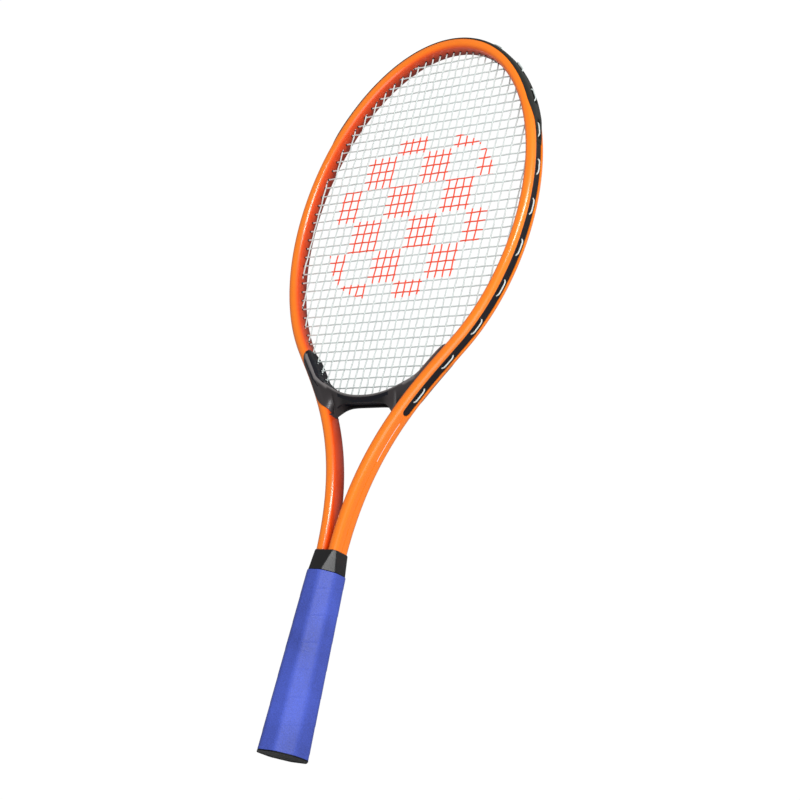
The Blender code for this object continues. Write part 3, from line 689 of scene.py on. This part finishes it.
def buildStrip(name, node, side):
    base, top, half, edge = (strip[key] for key in ("base", "top", "half", "edge"))
    section = [
        (base, -half), (top - edge, -half), (top, edge - half), (top, 0.0),
        (top, half - edge), (top - edge, half), (base, half), (base, 0.0),
    ]
    grooves = [(0, -1)] * 3 + [(0, 0)] + [(0, 1)] * 3 + [(0, 0)]
    ends = roundEnd(lengthAtY(tube["grooveStart"]) - strip["endInset"], half)
    alongs = np.linspace(ends[-1][0], alongAtY(strip["endY"]), strip["steps"])[1:]
    stations = [(ends[0][0], 0.0, half - edge, 0.0)]
    stations += [(along, 0.0, min(narrow, half - edge), 1.0) for along, narrow in ends]
    stations += [(along, 0.0, 0.0, 1.0) for along in alongs] + [(alongs[-1], 0.0, 0.0, 0.0)]
    made = sweep(name, mirrored(stations) if side < 0 else stations, section, grooves, "blackStrip")
    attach(made, "root")
    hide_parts(node)
    return made


buildStrip("outer_strip_right", "grommet_strip_right", 1)
buildStrip("outer_strip_left", "grommet_strip_left", -1)
print("racket: strips swept")

# bumper guard over the head's top, with a pocket at each loop of string

guard = dict(
    base=0.00285, stand=0.00165, edgeThick=0.0006, seat=0.00015, reach=0.0089,
    tailHalf=0.0041, flatEnd=0.003, flank=0.0006,
    channelHalf=0.0019, channelFlat=0.8, channelEdge=0.0003,
    leastFloor=0.0005, rimTuck=0.0002, leastWall=0.0003,
    pocketDepth=0.0026, pocketLength=0.0215, pocketFade=0.0022,
    tailY=0.558, lapY=0.567, riseY=0.600, fullY=0.604, riseCurve=0.4,
    tailSteps=60, topSteps=260, aroundSteps=14,
)


def pocketDip(length):
    nearest = min(abs(length - loop) for loop in loopLengths)
    inside = guard["pocketLength"] / 2 - nearest
    return guard["pocketDepth"] * smoothShare(inside, 0.0, guard["pocketFade"])


def skinPoint(reach, stand):
    # out and up of a point reach metres round the tube's skin, from its outer face's middle over the front
    flatUp, flatOut = tubeUp - tubeCorner, tubeOut - tubeCorner
    arc, bend = tubeCorner * math.pi / 2, tubeCorner + stand
    if reach <= flatUp:
        return tubeOut + stand, reach
    if reach <= flatUp + arc:
        turn = (reach - flatUp) / tubeCorner
        return flatOut + bend * math.cos(turn), flatUp + bend * math.sin(turn)
    if reach <= flatUp + arc + 2 * flatOut:
        return flatUp + arc + flatOut - reach, tubeUp + stand
    turn = (reach - flatUp - arc - 2 * flatOut) / tubeCorner
    return -flatOut - bend * math.sin(turn), flatUp + bend * math.cos(turn)


def guardRing(length):
    place, normal = wholePlace(alongAtLength(length))
    base, half, channel, steps = (guard[key] for key in ("base", "tailHalf", "channelHalf", "aroundSteps"))
    reach = half + (guard["reach"] - half) * smoothShare(place[1], guard["lapY"], guard["fullY"])
    rise = clampShare(place[1], guard["tailY"], guard["riseY"]) ** guard["riseCurve"]
    level = strip["top"] + (tubeOut + guard["stand"] - strip["top"]) * rise
    thick = level - tubeOut
    edge = min(thick, guard["edgeThick"])
    floor = max(level - pocketDip(length), base + guard["leastFloor"])
    upper = [(floor, 0.0), (floor, channel * guard["channelFlat"]), (floor, channel)]
    upper.append((level, channel + guard["channelEdge"]))
    flank = channel + guard["flank"]
    for i in range(steps + 1):
        along = flank + (reach - flank) * i / steps
        fall = max(0.0, (along - guard["flatEnd"]) / (guard["reach"] - guard["flatEnd"]))
        stand = thick + (edge - thick) * fall
        upper.append(skinPoint(along, stand - (guard["rimTuck"] if i == steps else 0.0)))
    seat = min(guard["seat"], thick - guard["leastWall"])
    upper += [skinPoint(reach + (half - reach) * 2 * i / steps, seat) for i in range(steps // 2 + 1)]
    upper += [(base, half), (base, 0.0)]
    flat = upper + [(out, -up) for out, up in upper[-2:0:-1]]
    return [(place[0] + normal[0] * out, place[1] + normal[1] * out, up) for out, up in flat]


def buildGuard():
    tail, full = lengthAtY(guard["tailY"]), lengthAtY(guard["fullY"])
    lengths = list(np.linspace(tail, full, guard["tailSteps"]))
    lengths += list(np.linspace(full, -full, 2 * guard["topSteps"])[1:])
    lengths += list(np.linspace(-full, -tail, guard["tailSteps"])[1:])
    return lofted("head_guard", [guardRing(length) for length in lengths], ["guardPlastic"], 40.0)


headGuard = buildGuard()
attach(headGuard, "root")
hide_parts("bumper_guard")
print("racket: guard swept")

# throat bridge

bridge = dict(
    bed=0.3205, rise=0.042, span=0.080, curve=2.2, underside=0.3145, foot=0.3020,
    besideX=0.030, footCurve=6, undersideHalf=0.0070, undersideCurve=6,
    footShare=0.40, footRidgeX=0.0365, wingTip=0.3665, tipRidgeX=0.0800, tipCurve=20,
    proud=0.0008, proudReach=0.004, seat=0.00012, lapCurve=4, tipShare=0.99,
    top=0.0101, wall=0.0007, band=0.0026, bandCurls=1.6, bandShare=0.6,
    round=0.0006, wingRound=0.0026, wingRoundEnd=0.6, crestPoints=(4, 5), ridgeHighlightReach=0.0017,
    shoulder=((0.0, 1.6, 4), (0.3, 0.6, 4), (1.0, 0.15, 2)),
    sagMiddle=0.0002, sagFoot=0.0017, lapReach=0.0151, cornerReach=0.0078, lapFullY=0.3339,
    tipStartY=0.345, recessHalf=0.0044, recessShare=0.7, recessTop=0.3175, recessSpan=0.0290,
    stations=90, faceSteps=12, hiddenSteps=4,
    bedTurn=0.7, wingBedTurn=0.22, bedTurnStart=0.045, bedTurnEnd=0.060, bedSlack=0.0005, underShadeTurn=-0.5,
)
bridgeLook = dict(
    underShade=(14, 13, 15), ridgeHighlight=(128, 124, 124), ridgeHighlightShare=0.8,
    bandLow=0.0022, bandHigh=0.0036, fadeX=0.021, endX=0.030,
)


def dressBridge():
    # charcoal, with painted shade near black under the ridge in the middle of the span, and a painted
    # highlight pale along the ridge
    tree, shader, grain, place = lookParts("bridgePlastic")
    parts = tree.split(place)
    across = tree.math("ABSOLUTE", parts["X"])
    rise = tree.math("POWER", tree.math("DIVIDE", across, bridge["span"]), bridge["curve"])
    bed = tree.math("MULTIPLY_ADD", rise, bridge["rise"], bridge["bed"])
    below = tree.math("SUBTRACT", bed, parts["Y"])
    # painted shade: the band under the ridge, in the middle of the span, goes near black
    under = tree.fade(below, bridgeLook["bandLow"], bridgeLook["bandHigh"])
    middle = tree.fade(across, bridgeLook["endX"], bridgeLook["fadeX"])
    underShade = tree.math("MULTIPLY", under, middle)
    base = tree.mix(underShade, grain["Colour"], colour(*bridgeLook["underShade"]))
    # painted highlight: pale along the ridge, where the ridge attribute is high
    ridge = tree.add("ShaderNodeAttribute", {"attribute_name": "ridge"}).outputs["Fac"]
    ridgeHighlight = tree.math("MULTIPLY", ridge, bridgeLook["ridgeHighlightShare"])
    tree.feed(tree.mix(ridgeHighlight, base, colour(*bridgeLook["ridgeHighlight"])), shader["Base Color"])


dressBridge()


def bedPoint(x):
    bed = bridge["bed"] + bridge["rise"] * (abs(x) / bridge["span"]) ** bridge["curve"]
    wall = -tubeOut - bridge["wall"]
    beside = framePoint(alongAtX(x, wall, 1.0, 3.0), wall)[1] if x > bridge["besideX"] else 0.0
    return np.array([x, max(bed, beside)])


def innerSkin(along, reach, stand):
    # the same walk from the inner face's middle, as a point
    out, up = skinPoint(reach, stand)
    return np.array([*framePoint(along, -out), up])


def skinHeight(flat):
    # height of the tube's front skin over a place in X and Y, far below where there is no tube
    nearest = int(np.argmin(np.hypot(*(lengthPlaces - flat[:2]).T)))
    place, normal = framePlace(float(lengthAlongs[nearest]))
    beyond = abs(float(np.dot(flat[:2] - place, normal))) - (tubeOut - tubeCorner)
    if beyond >= tubeCorner:
        return -1.0
    return tubeUp - tubeCorner + math.sqrt(tubeCorner**2 - max(0.0, beyond) ** 2)


def lapReach(y, laps):
    # how far round the tube the wing goes at y, over its front or only to its inner corner
    full = bridge["lapReach"] if laps else bridge["cornerReach"]
    rise = clampShare(y, bridge["foot"], bridge["lapFullY"])
    tip = min(clampShare(y, bridge["tipStartY"], bridge["wingTip"]), bridge["tipShare"])
    return full * (1 - (1 - rise) ** bridge["lapCurve"]) * math.sqrt(1 - tip ** bridge["lapCurve"])


def bridgeStation(share, laps):
    # one side of a section, from the middle of the bed side to the middle of the hidden side
    foot, footShare, seat, steps = (bridge[key] for key in ("foot", "footShare", "seat", "hiddenSteps"))
    ridgeX = float(np.interp(share, [0, footShare, 1], [0, bridge["footRidgeX"], bridge["tipRidgeX"]]))
    bed = bedPoint(ridgeX)
    proud = bridge["proud"] - seat
    top, curl, sagFoot = (bridge[key] for key in ("top", "round", "sagFoot"))
    if share <= footShare:
        part = share / footShare
        footPoint = innerSkin(alongAtY(foot), 0.0, seat)
        underside = bridge["underside"]
        edge = np.array([
            footPoint[0] * part, underside - (underside - foot) * part ** bridge["footCurve"],
            bridge["undersideHalf"] * math.sqrt(1 - part ** bridge["undersideCurve"]),
        ])
        slot = min(bridge["recessHalf"], edge[2] * bridge["recessShare"])
        deep = max(bridge["recessTop"], edge[1]) if edge[0] < bridge["recessSpan"] else edge[1]
        hidden = [(edge[0], edge[1], slot)]
        hidden += [(edge[0], deep, slot * (1 - i / steps)) for i in range(steps + 1)]
        sag = bridge["sagMiddle"] + (sagFoot - bridge["sagMiddle"]) * part**3
    else:
        part = (share - footShare) / (1 - footShare)
        y = foot + (bridge["wingTip"] - foot) * part
        along, reach = alongAtY(y), lapReach(y, laps)
        edge = innerSkin(along, reach, seat + proud * min(1.0, reach / bridge["proudReach"]))
        hidden = [innerSkin(along, reach, seat)]
        hidden += [innerSkin(along, reach * (1 - i / steps), seat) for i in range(steps + 1)]
        sag = sagFoot * (1 - part) ** 2
        top = max(top * (1 - part ** bridge["tipCurve"]), edge[2])
        curl += (bridge["wingRound"] - curl) * smoothShare(part, 0.0, bridge["wingRoundEnd"])
    gap = np.hypot(*(edge[:2] - bed))
    toEdge = unit(edge[:2] - bed)
    band = min(max(bridge["band"], bridge["bandCurls"] * curl), bridge["bandShare"] * gap)
    ridge = np.array([*(bed + toEdge * band), top])
    points = [(*bed, 0.0), (*bed, top / 2)]
    for out, drop, limit in bridge["shoulder"]:
        points.append((*(bed + toEdge * min(curl * out, band / limit)), top - curl * drop))
    points.append(tuple(ridge))
    for i in range(1, bridge["faceSteps"]):
        s = i / bridge["faceSteps"]
        x, y, z = ridge * (1 - s) + edge * s
        lifted = skinHeight(np.array([x, y])) + seat + proud * min(1.0, s * 2)
        points.append((x, y, max(z - sag * math.sin(math.pi * s), lifted)))
    return points + [tuple(point) for point in (edge, *hidden)]


def buildBridge():
    # the left wing laps the front and the right wing the back, so that a half turn gives the same piece
    right, left, crest = [], [], []
    stations = bridge["stations"]
    for i in range(stations + 1):
        lapped, short = (bridgeStation(i / stations, laps) for laps in (True, False))
        right.append(short + [(x, y, -z) for x, y, z in lapped[-2:0:-1]])
        left.append([(-x, y, z) for x, y, z in lapped] + [(-x, y, -z) for x, y, z in short[-2:0:-1]])
        # the ridge is one point wide in the middle of the span and two on the wings
        for point in bridge["crestPoints"][: 2 if i > stations // 2 else 1]:
            crest += [lapped[point], short[point]]
    made = lofted("yoke_bridge", left[:0:-1] + right, ["bridgePlastic", "blackStrip"], 45.0)
    bedTurn = bridge["bedTurn"]
    for face in made.data.polygons:
        x, y, _ = face.center
        inward = Vector((-x, tube["headCentre"] - y, 0.0)).normalized()
        wing = smoothShare(abs(x), bridge["bedTurnStart"], bridge["bedTurnEnd"])
        turned = bedTurn - (bedTurn - bridge["wingBedTurn"]) * wing
        bedSide = face.normal.dot(inward) > turned and y > bridge["bed"] - bridge["bedSlack"]
        # painted shade: underside faces in the middle of the span take the near-black strip material too
        underside = face.normal.y < bridge["underShadeTurn"] and abs(x) < bridge["recessSpan"]
        if bedSide or underside:
            face.material_index = 1
    # painted highlight: the ridge attribute is 1 on the crest and falls to 0 a short way off
    crest = np.array(crest)
    ridge = made.data.attributes.new("ridge", "FLOAT", "POINT")
    for vertex in made.data.vertices:
        near = np.linalg.norm(crest - np.abs(np.array(vertex.co)), axis=1).min()
        ridge.data[vertex.index].value = max(0.0, 1 - near / bridge["ridgeHighlightReach"])
    return made


yokeBridge = buildBridge()
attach(yokeBridge, "root")
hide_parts("throat_bridge")
print("racket: bridge lofted")

# strings

mainPlaces, crossPlaces = (
    np.arange(strings[key]) - (strings[key] - 1) / 2 for key in ("mainCount", "crossCount")
)
mainXs = strings["mainPitch"] * mainPlaces + strings["mainSpread"] * mainPlaces**3 + strings["mainShift"]
crossYs = strings["crossMiddle"] + strings["crossPitch"] * crossPlaces


def numberAt(values, at):
    # a string's number at a place, run on past the first and last string
    first, last = values[1] - values[0], values[-1] - values[-2]
    if at < values[0]:
        return (at - values[0]) / first
    if at > values[-1]:
        return len(values) - 1 + (at - values[-1]) / last
    return float(np.interp(at, values, np.arange(len(values))))


def mainEnds(x, depth):
    # where a main string meets the bed side at the bottom and the top, each run on by depth
    offset = depth - tubeOut
    top = framePoint(alongAtX(abs(x), offset, 3.0, 4.0), offset)[1]
    bottom = framePoint(alongAtX(abs(x), offset, strings["lowestAlong"], 3.0), offset)[1]
    if abs(x) < bridge["tipRidgeX"]:
        bottom = max(bottom, bedPoint(abs(x))[1] - depth)
    return bottom, top


def crossReach(y, depth):
    offset = depth - tubeOut
    reach = framePoint(alongAtY(y, offset), offset)[0]
    if y < bridge["wingTip"]:
        xs = np.linspace(0.0, bridge["tipRidgeX"], strings["reachSteps"])
        ys = [bedPoint(x)[1] for x in xs]
        reach = min(reach, float(np.interp(y, ys, xs)) + depth)
    return reach


def growStrings(name, strands):
    # strands: lists of (x, y, main number, cross number, over)
    points, edges, marks = [], [], []
    for strand in strands:
        edges += [(len(points) + i, len(points) + i + 1) for i in range(len(strand) - 1)]
        points += [(x, y, 0.0) for x, y, *_ in strand]
        marks += [row[2:] for row in strand]
    labels = dict(zip(("mainNumber", "crossNumber", "over"), zip(*marks)))
    source = pathObject(f"{name} lines", points, edges, "FLOAT", labels)
    return grown(name, source, stringTree, {
        "Radius": strings["radius"], "Sides": strings["sides"], "Weave": strings["weave"],
        "Material": looks["string"],
    })


def strandStops(low, high, pitch):
    count = max(2, round((high - low) / pitch * strings["stepsPerCrossing"]))
    return np.linspace(low, high, count + 1)


def fadeAt(at, low, high):
    return smoothShare(min(at - low, high - at), 0.0, strings["endFade"])


def addLoops(strands, wanted):
    # the loops that face up or down belong to the main string, the others to the cross string
    for loop in loopLengths:
        place, normal = wholePlace(alongAtLength(loop))
        if (normal[1] > strings["mainFacing"]) != wanted:
            continue
        kind = "guard" if place[1] > strings["guardLoopY"] else "strip"
        crest = strings[f"{kind}LoopOffset"]
        rise = strings["guardLoopRise" if kind == "guard" else "loopRise"]
        strand = []
        for i in range(strings["loopSteps"] + 1):
            s = 2 * i / strings["loopSteps"] - 1
            here, out = wholePlace(alongAtLength(loop + s * strings["loopLength"] / 2))
            strand.append((*(here + out * (crest - rise * s ** strings["loopCurve"])), 0.0, 0.0, 0.0))
        strands.append(strand)


mainStrands, crossStrands = [], []
# x, y and inward direction of each grommet tip
tipRows = []
for number, x in enumerate(mainXs):
    low, high = mainEnds(x, strings["endDepth"])
    ys = strandStops(low, high, strings["crossPitch"])
    mainStrands.append([(x, y, number, numberAt(crossYs, y), fadeAt(y, low, high)) for y in ys])
    low, high = mainEnds(x, 0.0)
    tipRows += [(x, low, 0.0, 1.0), (x, high, 0.0, -1.0)]
for number, y in enumerate(crossYs):
    reach = crossReach(y, strings["endDepth"])
    xs = strandStops(-reach, reach, strings["mainPitch"])
    crossStrands.append([(x, y, numberAt(mainXs, x), number, -fadeAt(x, -reach, reach)) for x in xs])
    reach = crossReach(y, 0.0)
    tipRows += [(-reach, y, 1.0, 0.0), (reach, y, -1.0, 0.0)]
addLoops(mainStrands, True)
addLoops(crossStrands, False)
mainStrings = growStrings("main_strings_woven", mainStrands)
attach(mainStrings, "root")
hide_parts("main_string")
crossStrings = growStrings("cross_strings_woven", crossStrands)
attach(crossStrings, "root")
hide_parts("cross_string")
print("racket: strings woven")

# grommet tips round the inside of the head

tipShape = dict(sides=12, baseRadius=0.0011, tipRadius=0.0008, height=0.0010)
tipPoints = pathObject(
    "tip points", [(x, y, 0.0) for x, y, *_ in tipRows], [], "FLOAT_VECTOR",
    {"inward": [(*row[2:], 0.0) for row in tipRows]},
)
tips = grown("grommet_tips", tipPoints, tipTree, {
    "Sides": tipShape["sides"], "Base Radius": tipShape["baseRadius"],
    "Tip Radius": tipShape["tipRadius"], "Height": tipShape["height"], "Material": looks["blackStrip"],
})
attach(tips, "root")
print("racket: grommet tips placed")

# handle

grip = dict(
    length=0.158, buttHalf=0.02165, topHalf=0.01685, wallThickness=0.0018, cornerRadius=0.0078,
    innerRadius=0.0068, start=0.0013, end=0.1577, endRound=0.0006, endRise=0.0002,
    seamPitch=0.0236, seamPhase=0.35, seamHeight=0.00035, seamHalf=0.035, seamStep=0.45,
    around=128, along=230,
)
octagonStep = math.radians(45)


def gripHalf(y):
    return grip["buttHalf"] + (grip["topHalf"] - grip["buttHalf"]) * y / grip["length"]


def roundOctagon(half, radius, turn):
    # distance from the axis to a regular octagon with round corners, flats square to X and Z
    halfStep = octagonStep / 2
    local = (turn + halfStep) % octagonStep - halfStep
    inner = half - radius
    if abs(local) <= math.atan2(inner * math.tan(halfStep), half):
        return half / math.cos(local)
    corner, off = inner / math.cos(halfStep), halfStep - abs(local)
    return corner * math.cos(off) + math.sqrt(max(0.0, radius**2 - (corner * math.sin(off)) ** 2))


def octagonRing(half, radius, y, shrink=None):
    ring = []
    for i in range(grip["around"]):
        turn = 2 * math.pi * i / grip["around"]
        reach = roundOctagon(half, radius, turn) - (shrink(turn) if shrink else 0.0)
        ring.append((reach * math.cos(turn), y, reach * math.sin(turn)))
    return ring


def seamShrink(y):
    # each wind overlaps the last: a slope across it, and a groove at its edge
    def shrink(turn):
        phase = (y / grip["seamPitch"] + turn / (2 * math.pi) + grip["seamPhase"]) % 1.0
        groove = max(0.0, 1 - abs(phase - 0.5) / grip["seamHalf"])
        slope = (phase - 0.5) % 1.0
        return grip["seamHeight"] * (grip["seamStep"] * slope + (1 - grip["seamStep"]) * groove)
    return shrink


def buildWrap():
    start, end, wall = grip["start"], grip["end"], grip["wallThickness"]
    rings = []
    for i in range(grip["along"] + 1):
        y = start + (end - start) * i / grip["along"]
        rings.append(octagonRing(gripHalf(y), grip["cornerRadius"], y, seamShrink(y)))
    rings += [
        octagonRing(gripHalf(end) - grip["endRound"], grip["cornerRadius"], end + grip["endRise"]),
        octagonRing(gripHalf(end) - wall, grip["innerRadius"], end),
        octagonRing(gripHalf(start) - wall, grip["innerRadius"], start),
    ]
    return lofted("grip_wound", rings, ["blueWrap"], 60.0, closed=True)


woundGrip = buildWrap()
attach(woundGrip, "root")
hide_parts("grip_wrap")
print("racket: grip wound")

collar = dict(
    length=0.0197, baseHalf=0.0161, topHalfX=0.01255, topHalfZ=0.0103, topChamfer=0.0028,
    edge=0.0005, steps=24, cornerSteps=3, cornerRadius=0.0012, cornerShare=0.4,
)


def chamferRing(halfX, halfZ, chamfer, y):
    corners = []
    for x, z in ((1, 1), (-1, 1), (-1, -1), (1, -1)):
        pair = [(x * halfX, z * (halfZ - chamfer)), (x * (halfX - chamfer), z * halfZ)]
        corners += [np.array(corner) for corner in (pair if x == z else pair[::-1])]
    ring = []
    for i, corner in enumerate(corners):
        before, after = corners[i - 1] - corner, corners[(i + 1) % 8] - corner
        shortest = collar["cornerShare"] * min(np.hypot(*before), np.hypot(*after))
        reach = min(collar["cornerRadius"], shortest)
        start, end = corner + unit(before) * reach, corner + unit(after) * reach
        for j in range(collar["cornerSteps"] + 1):
            s = j / collar["cornerSteps"]
            x, z = start * (1 - s) ** 2 + corner * 2 * s * (1 - s) + end * s**2
            ring.append((x, y, z))
    return ring


def buildCollar():
    length, base, edge, steps = (collar[key] for key in ("length", "baseHalf", "edge", "steps"))
    start, end = grip["length"], grip["length"] + length
    baseChamfer = base * (1 - math.tan(octagonStep / 2))
    tapers = ((base, "topHalfX"), (base, "topHalfZ"), (baseChamfer, "topChamfer"))
    # bevelled edges: a smaller ring at each end, and the first and last full ones drawn in to match
    stops = [(0.0, edge, start)]
    for i in range(steps + 1):
        y = start + length * i / steps
        stops.append((i / steps, 0.0, min(max(y, start + edge), end - edge)))
    stops.append((1.0, edge, end))
    rings = []
    for share, inset, y in stops:
        halfX, halfZ, chamfer = (low + (collar[key] - low) * share for low, key in tapers)
        rings.append(chamferRing(halfX - inset, halfZ - inset, chamfer, y))
    return lofted("neck_collar", rings, ["collarRubber"], 35.0)


neckCollar = buildCollar()
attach(neckCollar, "root")
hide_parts("collar")

butt = dict(
    flange=0.0012, edge=0.0004, cornerRadius=0.0075, plug=0.0190, depth=0.0030,
    panelInset=0.0035, panelDepth=0.0004, panelDraft=0.0003,
)


def buildButt():
    half, edge, plug, flange = grip["buttHalf"], butt["edge"], butt["plug"], butt["flange"]
    panel = half - butt["panelInset"]
    stops = [
        (plug, butt["depth"]), (plug, flange), (half - edge, flange), (half, flange - edge), (half, edge),
        (half - edge, 0.0), (panel, 0.0), (panel - butt["panelDraft"], butt["panelDepth"]),
    ]
    rings = [octagonRing(reach, butt["cornerRadius"], y) for reach, y in stops]
    return lofted("butt_end_cap", rings, ["buttPlastic"], 35.0)


buttCap = buildButt()
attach(buttCap, "root")
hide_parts("butt_cap")
print("racket: collar and butt cap lofted")

# CAD parts that stay as they are

keptNodes = dict(
    blackStrip=["bridge_grommet_strip"],
    palletPlastic=["pallet_front", "pallet_back"],
    steel=[
        "pallet_screw_left", "pallet_screw_right", "butt_cap_staple_front", "butt_cap_staple_back",
        "grip_tack", "bridge_pin_left", "bridge_pin_right",
    ],
)
for look, nodes in keptNodes.items():
    for node in nodes:
        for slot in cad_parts[node].material_slots:
            slot.material = looks[look]

# camera, from the photograph

photo = dict(
    yaw=-0.72790, pitch=-0.31518, roll=-0.23077, shift=(-0.0975006, -0.2955160, -1.4953580),
    focalPixels=1807.223, imageWidth=800, sensor=36.0,
)
turns = [
    Matrix.Rotation(photo[key], 3, axis) for key, axis in (("roll", "Z"), ("pitch", "X"), ("yaw", "Y"))
]
cameraAxes = (turns[0] @ turns[1] @ turns[2]).transposed()
cameraPlace = -(cameraAxes @ Vector(photo["shift"]))
cameraData = bpy.data.cameras.new("photo camera")
cameraData.sensor_width = photo["sensor"]
cameraData.lens = photo["sensor"] * photo["focalPixels"] / photo["imageWidth"]
camera = addObject("photo camera", cameraData)
camera.matrix_world = Matrix.Translation(cameraPlace) @ cameraAxes.to_4x4()
scene.camera = camera

# floor, light and background

studio = dict(
    floorDrop=0.0002, floorHalf=12.0, floorGrey=(0.45, 0.45, 0.45, 1), floorWhite=0.9,
    floorGlow=1.1,
    worldStrength=0.3, white=(1, 1, 1, 1), middle=(0.0, 0.36, 0.0),
)
lamps = dict(
    key=dict(toward=(0.60, -0.60, 0.53), distance=3.0, wide=3.0, tall=3.0, energy=52.0),
    side=dict(toward=(0.67, 0.40, 0.65), distance=1.6, wide=0.18, tall=1.1, energy=20.0),
)


def showApart(tree, output, lit, seen, share):
    # lit falls on the racket, and the camera sees that share of seen instead
    ray = tree.add("ShaderNodeLightPath").outputs["Is Camera Ray"]
    mixed = tree.add("ShaderNodeMixShader")
    tree.feedAll((tree.math("MULTIPLY", ray, share), lit, seen), mixed.inputs)
    tree.add(output, Surface=mixed)


def makeFloor():
    low = cadBox[0][2] - studio["floorDrop"]
    half = studio["floorHalf"]
    corners = [(x * half, y * half, low) for x, y in ((-1, -1), (1, -1), (1, 1), (-1, 1))]
    mesh = bpy.data.meshes.new("floor")
    mesh.from_pydata(corners, [], [(0, 1, 2, 3)])
    floor = addObject("floor", mesh)
    look = bpy.data.materials.new("floor")
    look.use_nodes = True
    tree = Tree(look.node_tree)
    tree.nodes.clear()
    pale = tree.add("ShaderNodeBsdfDiffuse", Color=studio["floorGrey"])
    white = tree.add("ShaderNodeEmission", Color=studio["white"], Strength=studio["floorGlow"])
    showApart(tree, "ShaderNodeOutputMaterial", pale, white, studio["floorWhite"])
    mesh.materials.append(look)


def makeWorld():
    world = bpy.data.worlds.new("studio")
    scene.world = world
    world.use_nodes = True
    tree = Tree(world.node_tree)
    tree.nodes.clear()
    glow, white = (
        tree.add("ShaderNodeBackground", Color=studio["white"], Strength=strength)
        for strength in (studio["worldStrength"], 1.0)
    )
    showApart(tree, "ShaderNodeOutputWorld", glow, white, 1.0)


def addLamp(name, lamp):
    data = bpy.data.lights.new(name, "AREA")
    data.shape = "RECTANGLE"
    data.size, data.size_y = lamp["wide"], lamp["tall"]
    data.energy = lamp["energy"]
    toward = Vector(lamp["toward"]).normalized()
    where = Vector(studio["middle"]) + toward * lamp["distance"]
    light = addObject(name, data)
    light.matrix_world = Matrix.Translation(where) @ toward.to_track_quat("Z", "Y").to_matrix().to_4x4()


makeFloor()
makeWorld()
for name, lamp in lamps.items():
    addLamp(name, lamp)
scene.view_settings.view_transform = "Standard"
print("racket: studio ready")
